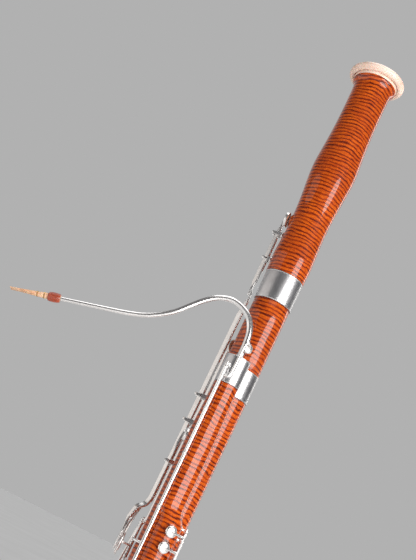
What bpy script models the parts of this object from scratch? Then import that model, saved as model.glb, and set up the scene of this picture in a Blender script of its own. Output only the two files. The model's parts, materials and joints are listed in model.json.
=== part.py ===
"""Bassoon, German system: boot, wing, two-piece long joint, bell, crook, reed and keywork.

Frame, in metres: +Z runs up the instrument, the origin is the middle of the flat boot cap, the wing
joint is on the -Y side, the long joint and bell are on the +Y side, -X is the player's thumb side.
Angles are degrees round a joint's own axis, from +X towards +Y.
"""
import math

import bmesh
import bpy
from mathutils import Matrix, Vector

MM = 0.001
GAP = 0.0003                # between pieces that touch

# ---- driving dimensions ------------------------------------------------------------------------
LONG_Y = 0.0195             # long joint, bell and up-bore axis
WING_Y = -0.0195            # wing joint and down-bore axis
BOOT_R = 0.0215             # half width of the oval boot
CAP_TOP = 0.0400
BOOT_SHOULDER = 0.0410
BOOT_TOP = 0.4400
JOINT_SEAT = 0.4405         # shoulders of the wing and long joints stand here
WING_TOP = 0.9070
WING_FERRULE_LOW = 0.8720
WING_R = 0.0148              # the wood under the ferrule
WING_BAND = 0.0152           # the ferrule
LONG_FERRULE_LOW = 0.8670
LONG_FERRULE_TOP = 0.9030
LONG_R_LOW = 0.0180
LONG_R_TOP = 0.0236
BELL_LOW = 0.9953
BELL_FERRULE_TOP = 1.0340
BELL_WOOD_TOP = 1.3362
RING_TOP = 1.3506
RING_R = 0.03875
TENON_LENGTH = 0.0330
KEY_REACH = 0.0323          # long-joint levers, from the joint's axis
KEY_DEPTH = 0.0060          # they stand on edge, deeper than they are wide
PAD_SEAT = 0.0034           # from the wood to a closed cup's rim: the pad's thickness
PAD_OPENING = 0.0025        # how far a pad stands off when its key is open
POST_CLEAR = 0.0028         # from a post's middle to the end of a hinge tube
PIN_R = 0.0009              # pivot rods and saddle pins
BARREL_R = 0.0022           # hinge tubes
CROOK_TURN = 195.0          # heading of the crook, towards the player
CROOK_ROUTE = ((0, 887), (0, 905), (0, 925), (2.5, 943), (10, 957), (23, 965.5), (38, 968), (54, 962.8),
               (67, 952.5), (78.5, 940), (91, 926), (105, 914.8), (122, 905), (142, 898), (170, 890.6),
               (198, 883.6), (226, 876.6))      # (distance from the wing axis, height) in mm
CROOK_R_BUTT = 0.0042
CROOK_R_TIP = 0.0024
REED_BUTT = Vector((0.2195, 0.87823))           # in the crook's own plane: distance, height
REED_TIP = Vector((0.2775, 0.86373))

WOOD = ("flamed_maple", (0.42, 0.10, 0.018), 0.28, 0.0)
SILVER = ("silver_plate", (0.78, 0.78, 0.76), 0.18, 1.0)
IVORY = ("ivory_resin", (0.86, 0.80, 0.70), 0.35, 0.0)
CORK = ("tenon_thread", (0.45, 0.12, 0.06), 0.80, 0.0)
EBONITE = ("hard_rubber", (0.02, 0.02, 0.02), 0.35, 0.0)
CANE = ("reed_cane", (0.80, 0.52, 0.30), 0.55, 0.0)
THREAD = ("reed_thread", (0.30, 0.05, 0.02), 0.60, 0.0)

for stale in list(bpy.data.objects):
    bpy.data.objects.remove(stale, do_unlink=True)
PARTS = bpy.data.collections.new("bassoon")
bpy.context.scene.collection.children.link(PARTS)


# ---- tools -------------------------------------------------------------------------------------
def material(spec):
    """One Principled material for each sub-part."""
    name, colour, roughness, metallic = spec
    made = bpy.data.materials.new(name)
    made.use_nodes = True
    shader = made.node_tree.nodes["Principled BSDF"]
    shader.inputs["Base Color"].default_value = (*colour, 1.0)
    shader.inputs["Roughness"].default_value = roughness
    shader.inputs["Metallic"].default_value = metallic
    return made


def around(axis_y, angle, reach, height):
    """World point at an angle and a distance from an upright axis."""
    turn = math.radians(angle)
    return Vector((reach * math.cos(turn), axis_y + reach * math.sin(turn), height))


def linked(mesh, name="shape"):
    made = bpy.data.objects.new(name, mesh)
    bpy.context.scene.collection.objects.link(made)
    return made


def evaluated(source, weld=True):
    """A plain mesh object with the source's modifiers and place applied; the source is removed."""
    bpy.context.view_layer.update()
    graph = bpy.context.evaluated_depsgraph_get()
    mesh = bpy.data.meshes.new_from_object(source.evaluated_get(graph))
    mesh.transform(source.matrix_world)
    bpy.data.objects.remove(source, do_unlink=True)
    tidy = bmesh.new()
    tidy.from_mesh(mesh)
    if weld:
        bmesh.ops.remove_doubles(tidy, verts=tidy.verts, dist=0.000001)
    else:
        bmesh.ops.dissolve_degenerate(tidy, edges=tidy.edges, dist=0.000001)
    tidy.to_mesh(mesh)
    tidy.free()
    return linked(mesh)


def cylinder(start, end, radius, sides=12, end_radius=None):
    """A closed cylinder or cone between two points."""
    start, end = Vector(start), Vector(end)
    solid = bmesh.new()
    bmesh.ops.create_cone(solid, cap_ends=True, segments=sides, radius1=radius,
                          radius2=radius if end_radius is None else end_radius,
                          depth=(end - start).length)
    turn = (end - start).to_track_quat("Z", "Y").to_matrix().to_4x4()
    solid.transform(Matrix.Translation((start + end) / 2) @ turn)
    mesh = bpy.data.meshes.new("cylinder")
    solid.to_mesh(mesh)
    solid.free()
    return linked(mesh)


def ball(centre, radius, sides=6):
    solid = bmesh.new()
    bmesh.ops.create_uvsphere(solid, u_segments=sides, v_segments=sides // 2, radius=radius)
    solid.transform(Matrix.Translation(centre))
    mesh = bpy.data.meshes.new("ball")
    solid.to_mesh(mesh)
    solid.free()
    return linked(mesh)


def block(centre, size, turn=0.0):
    """A box, turned about Z by an angle."""
    solid = bmesh.new()
    bmesh.ops.create_cube(solid, size=1.0)
    solid.transform(Matrix.Translation(centre) @ Matrix.Rotation(math.radians(turn), 4, "Z")
                    @ Matrix.Diagonal((*size, 1.0)))
    mesh = bpy.data.meshes.new("block")
    solid.to_mesh(mesh)
    solid.free()
    return linked(mesh)


def turned(profile, axis_y, steps=26):
    """A profile of (radius, height), outer side top to bottom then inner side up, turned round."""
    mesh = bpy.data.meshes.new("profile")
    count = len(profile)
    closed = [(i, (i + 1) % count) for i in range(count)]
    mesh.from_pydata([(radius, 0.0, height) for radius, height in profile], closed, [])
    made = linked(mesh)
    made.location.y = axis_y
    screw = made.modifiers.new("turn", "SCREW")
    screw.angle = math.tau
    screw.steps = screw.render_steps = steps
    screw.use_merge_vertices = True
    screw.merge_threshold = 0.00001
    return evaluated(made)


def tube(outer_low, outer_top, inner, low, top, axis_y, steps=26):
    """A plain turned tube whose outside may taper."""
    return turned([(outer_top, top), (outer_low, low), (inner, low), (inner, top)], axis_y, steps)


def wire(points, radius, radii=None, resolution=3):
    """A round rod along a list of points, with filled caps."""
    curve = bpy.data.curves.new("wire", "CURVE")
    curve.dimensions = "3D"
    curve.bevel_depth = radius
    curve.bevel_resolution = resolution
    curve.use_fill_caps = True
    line = curve.splines.new("POLY")
    line.points.add(len(points) - 1)
    for index, point in enumerate(points):
        line.points[index].co = (*point, 1.0)
        line.points[index].radius = 1.0 if radii is None else radii[index] / radius
    made = bpy.data.objects.new("wire", curve)
    bpy.context.scene.collection.objects.link(made)
    return evaluated(made)


def plate(outline, thickness, frame):
    """A flat outline in the frame's XY plane, extruded along its Z to both sides."""
    curve = bpy.data.curves.new("plate", "CURVE")
    curve.dimensions = "2D"
    curve.fill_mode = "BOTH"
    curve.extrude = thickness / 2
    line = curve.splines.new("POLY")
    line.points.add(len(outline) - 1)
    for index, (across, along) in enumerate(outline):
        line.points[index].co = (across, along, 0.0, 1.0)
    line.use_cyclic_u = True
    made = bpy.data.objects.new("plate", curve)
    bpy.context.scene.collection.objects.link(made)
    made.matrix_world = frame
    return evaluated(made)


def radial_frame(axis_y, angle):
    """Local X is outward, local Y is up the instrument, local Z is sideways."""
    turn = Matrix.Rotation(math.radians(angle), 4, "Z") @ Matrix.Rotation(math.pi / 2, 4, "X")
    return Matrix.Translation((0.0, axis_y, 0.0)) @ turn


def bar(axis_y, angle, line, width=0.0036):
    """A lever on edge: a side view of (reach, height, depth) points, given its width."""
    left, right = [], []
    for index, (reach, height, depth) in enumerate(line):
        before = Vector(line[max(index - 1, 0)][:2])
        after = Vector(line[min(index + 1, len(line) - 1)][:2])
        across = (after - before).normalized() * (depth / 2)
        left.append((reach - across.y, height + across.x))
        right.append((reach + across.y, height - across.x))
    return plate(left + right[::-1], width, radial_frame(axis_y, angle))


def combine(first, others, operation):
    """Boolean of one object with several, applied; the others are removed."""
    for other in others:
        step = first.modifiers.new("step", "BOOLEAN")
        step.operation = operation
        step.solver = "EXACT"
        step.object = other
        result = evaluated(first, weld=False)
        bpy.data.objects.remove(other, do_unlink=True)
        first = result
    return first


def fuse(first, *others):
    return combine(first, others, "UNION")


def cut(first, *cutters):
    return combine(first, cutters, "DIFFERENCE")


def node(name, shape, spec, origin=(0.0, 0.0, 0.0), smooth=True):
    """Finish a shape as a named sub-part with its own material and origin."""
    shape.name = name
    shape.data.name = name
    shape.data.transform(Matrix.Translation(-Vector(origin)))
    shape.location = origin
    shape.data.materials.clear()
    shape.data.materials.append(material((name + "_" + spec[0], *spec[1:])))
    if smooth:
        shape.data.shade_smooth()
        shape.data.set_sharp_from_angle(angle=math.radians(35))
    bpy.context.scene.collection.objects.unlink(shape)
    PARTS.objects.link(shape)
    return shape


def long_radius(height):
    """Outside of the long joint, which widens upwards in a straight cone."""
    share = (height - JOINT_SEAT) / (BELL_LOW - JOINT_SEAT)
    return LONG_R_LOW + (LONG_R_TOP - LONG_R_LOW) * share


# ---- boot --------------------------------------------------------------------------------------
def oval(radius, low, top, sides=9):
    """A stadium-shaped block round both bores."""
    outline = []
    for centre_y, first in ((LONG_Y, 0.0), (WING_Y, math.pi)):
        for index in range(sides + 1):
            angle = first + math.pi * index / sides
            outline.append((radius * math.cos(angle), centre_y + radius * math.sin(angle)))
    return plate(outline, top - low, Matrix.Translation((0.0, 0.0, (low + top) / 2)))


def bore_pair(wing_radius, long_radius_, low, top, sides=18):
    return (cylinder((0, WING_Y, low), (0, WING_Y, top), wing_radius, sides),
            cylinder((0, LONG_Y, low), (0, LONG_Y, top), long_radius_, sides))


BOOT_WING_BORE = 0.0085
BOOT_LONG_BORE = 0.0112
WING_SOCKET = 0.0125
LONG_SOCKET = 0.0150


def make_boot():
    body = oval(BOOT_R, BOOT_SHOULDER + 0.0018, BOOT_TOP - 0.0003)
    body = cut(body, *bore_pair(BOOT_WING_BORE, BOOT_LONG_BORE, 0.03, 0.46),
               *bore_pair(WING_SOCKET, LONG_SOCKET, BOOT_TOP - TENON_LENGTH - 0.003, 0.46))
    band = body_band(0.4180, BOOT_TOP + 0.0001)
    lower = body_band(BOOT_SHOULDER + 0.0018, 0.0620)
    # the two bands sit in shallow rebates of the wood
    body = cut(body, sleeve(0.4177, 0.45), sleeve(0.03, 0.0623))
    node("boot_body", cut(body, *boot_finger_holes()), WOOD)
    node("boot_top_ferrule", band, SILVER)
    node("boot_lower_ferrule", lower, SILVER)

    cap = oval(BOOT_R + 0.0009, 0.0, CAP_TOP)
    cap = cut(cap, oval(BOOT_R - 0.0005, 0.0016, 0.06))
    node("boot_bottom_cap", cap, SILVER)

    bend_points = []
    for index in range(9):
        angle = math.pi + math.pi * index / 8
        bend_points.append((0.0, LONG_Y * math.cos(angle), 0.0335 + LONG_Y * math.sin(angle)))
    bend_points = [(0.0, WING_Y, 0.0385)] + bend_points + [(0.0, LONG_Y, 0.0385)]
    inner = [(0.0, WING_Y, 0.048)] + bend_points + [(0.0, LONG_Y, 0.048)]
    bend = fuse(wire(bend_points, 0.0108, resolution=3), oval(BOOT_R - 0.0009, 0.0362, 0.0383))
    node("boot_u_tube", cut(bend, wire(inner, 0.0092, resolution=3)), SILVER)

    gasket = oval(BOOT_R - 0.0009, 0.0387, BOOT_SHOULDER + 0.0014)
    node("boot_gasket", cut(gasket, *bore_pair(0.0095, 0.0112, 0.03, 0.05)), CORK)


def body_band(low, top):
    """An oval metal band that fills a rebate in the wood and stands 0.6 mm proud of it."""
    return cut(oval(BOOT_R + 0.0006, low, top), oval(BOOT_R - 0.0007, low - 0.01, top + 0.01))


def sleeve(low, top):
    """What is taken off the wood for a band."""
    return cut(oval(BOOT_R + 0.004, low, top), oval(BOOT_R - 0.0010, low - 0.01, top + 0.01))


def boot_finger_holes():
    """Three tone holes for the right hand, on the flat finger side, into the wing-side bore."""
    return [cylinder((0.0, WING_Y, height), (0.03, WING_Y + 0.004, height + 0.004), 0.0036, 16)
            for height in (0.3850, 0.3480, 0.2950)]


# ---- wing joint --------------------------------------------------------------------------------
WING_LOBE_TURN = -22.0      # heading of the epaulette that carries the finger holes
WING_LOBE_TOP = 0.7230
WING_LOBE_LOW = 0.5000
WING_LOBE = 0.0085


def rise(value, start, end):
    """Smooth step from 0 at start to 1 at end."""
    share = min(max((value - start) / (end - start), 0.0), 1.0)
    return share * share * (3.0 - 2.0 * share)


def wing_radius(angle, height):
    """Round body with a lobe, the epaulette, grown out of its finger side."""
    body = WING_R + 0.0018 * rise(height, 0.872, 0.800) + 0.0002 * rise(height, 0.745, 0.640)
    lobe = rise(height, WING_LOBE_TOP, WING_LOBE_TOP - 0.022) * rise(height, WING_LOBE_LOW, 0.545)
    away = math.radians((angle - WING_LOBE_TURN + 180.0) % 360.0 - 180.0)
    return body + WING_LOBE * lobe * math.cos(min(abs(away) * 1.25, math.pi / 2)) ** 0.75


def wing_surface(angle, height):
    """Where a post stands on the wing: the ferrule is a little wider than the wood."""
    return WING_BAND if height > WING_FERRULE_LOW else wing_radius(angle, height)


def make_wing():
    heights = [0.8715, 0.815, 0.760, 0.725, 0.718, 0.711, 0.702, 0.645, 0.545, 0.530, 0.515, 0.500,
               JOINT_SEAT + GAP]
    sides = 26
    loft = bmesh.new()
    rings = []
    for height in [WING_TOP - 0.0012, WING_FERRULE_LOW + GAP] + heights:
        inside_ferrule = height > 0.8717
        ring = []
        for index in range(sides):
            angle = 360.0 * index / sides
            reach = WING_R - 0.0007 if inside_ferrule else wing_radius(angle, height)
            ring.append(loft.verts.new(around(WING_Y, angle, reach, height)))
        rings.append(ring)
    for upper, lower in zip(rings, rings[1:]):
        for index in range(sides):
            after = (index + 1) % sides
            loft.faces.new((lower[index], lower[after], upper[after], upper[index]))
    loft.faces.new(rings[0])
    loft.faces.new(rings[-1][::-1])
    mesh = bpy.data.meshes.new("wing")
    loft.to_mesh(mesh)
    loft.free()
    body = linked(mesh)
    body = fuse(body, cylinder((0, WING_Y, 0.4085), (0, WING_Y, 0.47), 0.0112, 20))
    well = cylinder((0, WING_Y, 0.8845), (0, WING_Y, 0.95), 0.0058, 20)
    bore = cylinder((0, WING_Y, 0.6200), (0, WING_Y, 0.90), 0.0050, 20, 0.0034)
    lined = cylinder((0, WING_Y, 0.40), (0, WING_Y, 0.6300), 0.0080, 18)
    holes = [wing_hole(height, 0.0033) for height in (0.6600, 0.6230, 0.5850)]
    node("wing_body", cut(body, bore, lined, well, *holes), WOOD)

    node("wing_liner", tube(0.0077, 0.0077, 0.0060, 0.4087, 0.6295, WING_Y, 18), EBONITE)
    shell = [(WING_BAND - 0.0012, WING_TOP), (WING_BAND - 0.0003, WING_TOP - 0.0008),
             (WING_BAND, WING_TOP - 0.0022), (WING_BAND, WING_FERRULE_LOW),
             (WING_R - 0.0004, WING_FERRULE_LOW),
             (WING_R - 0.0004, WING_TOP - 0.0009), (0.0060, WING_TOP - 0.0009), (0.0060, WING_TOP)]
    node("wing_ferrule", turned(shell, WING_Y, 26), SILVER)
    node("wing_tenon_wrap", tube(0.0121, 0.0121, 0.0115, 0.4115, 0.4350, WING_Y, 20), CORK)


def wing_hole(height, radius):
    """A finger hole drilled down through the epaulette to the bore."""
    outside = around(WING_Y, WING_LOBE_TURN, 0.036, height + 0.012)
    return cylinder((0, WING_Y, height - 0.004), outside, radius, 14)


# ---- long joint, bell --------------------------------------------------------------------------
def make_long_joint():
    low, top = JOINT_SEAT + GAP, LONG_FERRULE_TOP - 0.0008
    wall = LONG_FERRULE_LOW - GAP
    profile = [(long_radius(top) - 0.0009, top), (long_radius(wall) - 0.0009, wall),
               (long_radius(wall), wall), (long_radius(low), low),
               (0.0138, low), (0.0138, BOOT_TOP - TENON_LENGTH),
               (0.0115, BOOT_TOP - TENON_LENGTH), (0.0150, LONG_FERRULE_TOP - 0.034),
               (0.0196, LONG_FERRULE_TOP - 0.034), (0.0196, top)]
    body = turned(profile, LONG_Y)
    node("long_lower_body", cut(body, tone_hole(*LOW_C), tone_hole(*LOW_D)), WOOD)
    node("long_tenon_wrap", tube(0.0146, 0.0146, 0.0141, 0.4110, 0.4350, LONG_Y, 24), CORK)
    ring = long_radius(LONG_FERRULE_TOP)
    node("long_ferrule", tube(ring + 0.0004, ring + 0.0007, ring - 0.0006, LONG_FERRULE_LOW,
                              LONG_FERRULE_TOP, LONG_Y), SILVER)

    base, shoulder, crown = LONG_FERRULE_TOP - 0.0320, LONG_FERRULE_TOP + GAP, BELL_LOW - GAP
    profile = [(0.0190, crown + 0.0290), (0.0190, crown), (long_radius(crown), crown),
               (long_radius(shoulder), shoulder), (0.0189, shoulder), (0.0189, base),
               (0.0153, base), (0.0166, crown + 0.0290)]
    node("long_upper_body", cut(turned(profile, LONG_Y), tone_hole(*LOW_B)), WOOD)
    node("long_upper_wrap", tube(0.0193, 0.0193, 0.01917, base + 0.003, shoulder - 0.004, LONG_Y), CORK)


LOW_B = (155.0, 0.9300)     # low B pad on the upper half, low C and low D pads on the lower half
LOW_C = (203.0, 0.8040)
LOW_D = (132.0, 0.7000)


def tone_hole(angle, height):
    """A hole under a pad, through the long joint's wall into its bore."""
    return cylinder(around(LONG_Y, angle, 0.004, height), around(LONG_Y, angle, 0.030, height), 0.0060, 18)


BELL_CURVE = ((0.0300, 1.3362), (0.0294, 1.3335), (0.0265, 1.3285), (0.0256, 1.3150),
              (0.0255, 1.2800), (0.0264, 1.2470), (0.0290, 1.2060), (0.0293, 1.1920),
              (0.0287, 1.1780), (0.0262, 1.1480), (0.0249, 1.1270), (0.0245, 1.1000),
              (0.0259, 1.0640), (0.0260, 1.0560))
BELL_HOLE = 1.1100


def make_bell():
    seat = BELL_FERRULE_TOP + GAP
    profile = [*BELL_CURVE, (0.0252, seat), (0.0236, seat), (0.0236, BELL_LOW + 0.0003),
               (0.0193, BELL_LOW + 0.0003), (0.0193, BELL_LOW + 0.0300), (0.0170, BELL_LOW + 0.0300),
               (0.0192, 1.1000), (0.0228, 1.1950), (0.0205, 1.2900), (0.0222, BELL_WOOD_TOP)]
    body = turned(profile, LONG_Y, 28)
    hole = cylinder(around(LONG_Y, 180, 0.006, BELL_HOLE), around(LONG_Y, 180, 0.04, BELL_HOLE), 0.0080, 20)
    node("bell_body", cut(body, hole), WOOD)
    node("bell_ferrule", tube(0.0244, 0.0246, 0.0239, BELL_LOW, BELL_FERRULE_TOP, LONG_Y, 28), SILVER)
    middle = (BELL_WOOD_TOP + GAP + RING_TOP) / 2
    half = (RING_TOP - BELL_WOOD_TOP - GAP) / 2
    # a full round outer edge on a flat washer, with a softened mouth
    edge = []
    for degrees in (90, 60, 35, 12, -12, -35, -60, -90):
        turn = math.radians(degrees)
        edge.append((RING_R - half * 1.15 * (1 - math.cos(turn)), middle + half * math.sin(turn)))
    mouth = [(0.0222, middle - half), (0.0222, middle + half * 0.5),
             (0.0232, middle + half * 0.88), (0.0252, middle + half)]
    node("bell_ring", turned(edge + mouth, LONG_Y, 28), IVORY)


# ---- crook and reed ----------------------------------------------------------------------------
def smooth_route(points, steps):
    """Points on a Catmull-Rom curve through the given ones."""
    padded = [points[0] * 2 - points[1], *points, points[-1] * 2 - points[-2]]
    route = []
    for index in range(1, len(padded) - 2):
        p0, p1, p2, p3 = padded[index - 1:index + 3]
        for step in range(steps):
            t = step / steps
            route.append(0.5 * (2 * p1 + (p2 - p0) * t + (2 * p0 - 5 * p1 + 4 * p2 - p3) * t * t
                                + (3 * p1 - p0 - 3 * p2 + p3) * t ** 3))
    return route + [points[-1]]


def crook_point(distance, height):
    return around(WING_Y, CROOK_TURN, distance, height)


def make_crook():
    flat = [Vector((distance * MM, height * MM)) for distance, height in CROOK_ROUTE]
    route = [crook_point(*point) for point in smooth_route(flat, 1)]
    length = [0.0]
    for before, after in zip(route, route[1:]):
        length.append(length[-1] + (after - before).length)
    radii = [CROOK_R_BUTT + (CROOK_R_TIP - CROOK_R_BUTT) * travelled / length[-1] for travelled in length]
    shell = wire(route, CROOK_R_BUTT, radii, 3)
    nib_out = around(WING_Y, NIB_TURN, 0.0068, NIB_HEIGHT)
    shell = fuse(shell, cylinder((0, WING_Y, NIB_HEIGHT), nib_out, 0.0021, 12))
    ends = [route[0] * 2 - route[1], *route, route[-1] * 2 - route[-2]]
    hollow = wire(ends, CROOK_R_BUTT, [0.0034] + [radius - 0.0008 for radius in radii] + [0.0016], 2)
    node("bocal_tube", cut(shell, hollow), SILVER, (0, WING_Y, WING_TOP))
    node("bocal_cork", tube(0.0055, 0.0055, 0.00455, 0.8885, 0.9056, WING_Y, 24), CORK, (0, WING_Y, WING_TOP))


def make_reed():
    """Two blades on one round tube that is pushed over the crook's tip."""
    butt, tip = REED_BUTT, REED_TIP
    along = (tip - butt).normalized()
    lift = Vector((-along.y, along.x))
    # (share of the length, half width, half thickness)
    sections = ((0.0, 0.0037, 0.0037), (0.14, 0.0038, 0.0038), (0.30, 0.0038, 0.0036), (0.46, 0.0042, 0.0030),
                (0.60, 0.0054, 0.0024), (0.76, 0.0064, 0.0016), (0.90, 0.0071, 0.0009), (1.0, 0.0075, 0.0006))
    outside = reed_loft(sections, butt, tip, lift)
    hollow = reed_loft(tuple((share * 1.3 - 0.15, max(width - 0.0010, 0.0005) * (1.0 if share < 0.9 else 0.9),
                              max(depth - 0.0010, 0.00018)) for share, width, depth in sections),
                       butt, tip, lift)
    reed = cut(outside, hollow)
    reed = cut(reed, reed_socket(butt, along))
    origin = crook_point(*butt)
    node("reed_cane", reed, CANE, origin)
    ring_inner, ring_outer = 0.0041, 0.0054
    profile = [(0.0045, 0.0150), (ring_outer, 0.0125), (ring_outer + 0.0002, 0.0070), (ring_outer, 0.0025),
               (0.0046, 0.0004), (ring_inner, 0.0004), (ring_inner, 0.0150)]
    turban = turned(profile, 0.0, 20)
    direction = (crook_point(*tip) - crook_point(*butt)).normalized()
    turban.matrix_world = Matrix.Translation(origin) @ direction.to_track_quat("Z", "Y").to_matrix().to_4x4()
    node("reed_turban", evaluated(turban), THREAD, origin)


def reed_loft(sections, butt, tip, lift, sides=14):
    loft = bmesh.new()
    side = Vector((-math.sin(math.radians(CROOK_TURN)), math.cos(math.radians(CROOK_TURN)), 0.0))
    rings = []
    for share, half_width, half_depth in sections:
        centre = butt + (tip - butt) * share
        ring = []
        for index in range(sides):
            angle = math.tau * index / sides
            flat = centre + lift * (half_depth * math.sin(angle))
            ring.append(loft.verts.new(crook_point(*flat) + side * (half_width * math.cos(angle))))
        rings.append(ring)
    for lower, upper in zip(rings, rings[1:]):
        for index in range(sides):
            after = (index + 1) % sides
            loft.faces.new((lower[index], lower[after], upper[after], upper[index]))
    loft.faces.new(rings[0][::-1])
    loft.faces.new(rings[-1])
    bmesh.ops.recalc_face_normals(loft, faces=loft.faces)
    mesh = bpy.data.meshes.new("reed")
    loft.to_mesh(mesh)
    loft.free()
    return linked(mesh)


def reed_socket(butt, along):
    """The round throat that takes the crook's tip."""
    start, end = butt - along * 0.004, butt + along * 0.010
    return cylinder(crook_point(*start), crook_point(*end), 0.0031, 16)


# ---- keywork -----------------------------------------------------------------------------------
def saddle(name, axis_y, angle, height, base, reach, spread=0.0036, tall=None, pin=True):
    """Two ears on a foot that stands on the wood, with a pin across them for a lever."""
    tall = reach + 0.0030 if tall is None else tall
    turn = math.radians(angle)
    side = Vector((-math.sin(turn), math.cos(turn), 0.0))
    foot = block(around(axis_y, angle, base + 0.0009, height), (0.0018, spread * 2 + 0.0030, 0.0062), angle)
    shape = foot
    for sign in (-1, 1):
        centre = around(axis_y, angle, (base + tall) / 2 + 0.0004, height) + side * (sign * (spread + 0.0006))
        shape = fuse(shape, block(centre, (tall - base - 0.0008, 0.0014, 0.0050), angle))
    if pin:
        middle = around(axis_y, angle, reach, height)
        reach_out = side * (spread + 0.0008)
        shape = fuse(shape, cylinder(middle - reach_out, middle + reach_out, PIN_R, 8))
    return node(name, shape, SILVER)


def cup(axis_y, angle, height, inner, radius, thickness=0.0034, sides=16):
    """A shallow domed pad cup whose open face looks at the joint's axis."""
    low = around(axis_y, angle, inner, height)
    crown = around(axis_y, angle, inner + thickness + 0.0008, height)
    return cylinder(low, crown, radius, sides, radius * 0.8)


def lever_key(name, axis_y, angle, line, pivot, cups=(), width=0.0036, touch=None):
    """A lever on a saddle pin: pivot is (reach, height), cups are (height, inner, radius)."""
    shape = bar(axis_y, angle, line, width)
    turn = math.radians(angle)
    side = Vector((-math.sin(turn), math.cos(turn), 0.0))
    for height, inner, radius in cups:
        shape = fuse(shape, cup(axis_y, angle, height, inner, radius))
    if touch:
        reach, height, half_width, half_length = touch
        pad = cylinder(around(axis_y, angle, reach - 0.0010, height),
                       around(axis_y, angle, reach + 0.0010, height), half_width, 12)
        pad = stretched(pad, around(axis_y, angle, reach, height), half_length / half_width)
        shape = fuse(shape, pad)
    middle = around(axis_y, angle, pivot[0], pivot[1])
    shape = fuse(shape, cylinder(middle - side * 0.0032, middle + side * 0.0032, BARREL_R, 10))
    shape = cut(shape, cylinder(middle - side * 0.01, middle + side * 0.01, PIN_R + GAP, 8))
    return node(name, shape, SILVER, middle)


def stretched(shape, centre, factor):
    """Scale a shape up the instrument about a point."""
    shape.data.transform(Matrix.Translation(centre) @ Matrix.Diagonal((1, 1, factor, 1))
                         @ Matrix.Translation(-centre))
    return shape


def rod_posts(name, axis_y, angle, reach, heights, surface):
    return node(name, posts_shape(axis_y, angle, reach, heights, surface), SILVER)


def posts_shape(axis_y, angle, reach, heights, surface):
    """Ball-headed posts screwed into the wood, joined by the steel rod that keys turn on."""
    shape = cylinder(around(axis_y, angle, reach, heights[0] + 0.0020),
                     around(axis_y, angle, reach, heights[-1] - 0.0020), PIN_R, 8)
    for height in heights:
        foot = around(axis_y, angle, surface(angle, height) + GAP, height)
        stem = cylinder(foot, around(axis_y, angle, reach - 0.001, height), 0.0016, 8)
        shape = fuse(shape, ball(around(axis_y, angle, reach, height), 0.0024), stem)
    return shape


def rod_key(name, axis_y, angle, reach, top, low, cups=(), touches=(), arms=()):
    """A hinge tube with arms: cups are (world centre of the pad face, direction, radius, height)."""
    upper = around(axis_y, angle, reach, top)
    lower = around(axis_y, angle, reach, low)
    shape = cylinder(lower, upper, BARREL_R, 8)
    for centre, direction, radius, *over in cups:
        out = Vector(direction).normalized()
        centre = Vector(centre)
        disc = cylinder(centre, centre + out * 0.0036, radius, 14, radius * 0.80)
        root = around(axis_y, angle, reach, centre.z)
        arm = wire([root, *over, centre + out * 0.0026], 0.0011, resolution=1)
        shape = fuse(shape, disc, arm)
    for centre, direction, half_width, half_length in touches:
        out = Vector(direction).normalized()
        centre = Vector(centre)
        pad = cylinder(centre, centre + out * 0.0020, half_width, 12)
        pad = stretched(pad, centre, half_length / half_width)
        root = around(axis_y, angle, reach, centre.z)
        shape = fuse(shape, pad, cylinder(root, centre + out * 0.0010, 0.0013, 6))
    for points in arms:
        shape = fuse(shape, wire(points, 0.0016, resolution=2))
    shape = cut(shape, cylinder(lower - Vector((0, 0, 0.01)), upper + Vector((0, 0, 0.01)), PIN_R + GAP, 8))
    return node(name, shape, SILVER, lower)


NIB_TURN = -48.0            # heading of the whisper nib and its pad
NIB_HEIGHT = 0.9206
WHISPER_ROD = (-106.5, 0.0199)
WHISPER_BRIDGE = 0.6720     # where the thumb touch pushes the whisper rod


def make_bell_keys():
    lever_key("bell_key", LONG_Y, 180,
              ((0.0325, 1.1180, 0.0019), (0.0328, 1.1020, 0.0026), (KEY_REACH, 1.0880, 0.0052),
               (KEY_REACH, 1.0500, KEY_DEPTH), (KEY_REACH + 0.0004, 1.0150, 0.0050), (0.0333, 1.0050, 0.0022),
               (0.0336, 0.9960, 0.0019)),
              (KEY_REACH, 1.0500), cups=((BELL_HOLE, 0.0295, 0.0105),))
    saddle("bell_key_saddle", LONG_Y, 180, 1.0500, 0.02625, KEY_REACH, tall=0.0368)
    saddle("bell_key_guide", LONG_Y, 180, 1.0870, 0.02555, KEY_REACH, tall=0.0390, pin=False)


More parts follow.
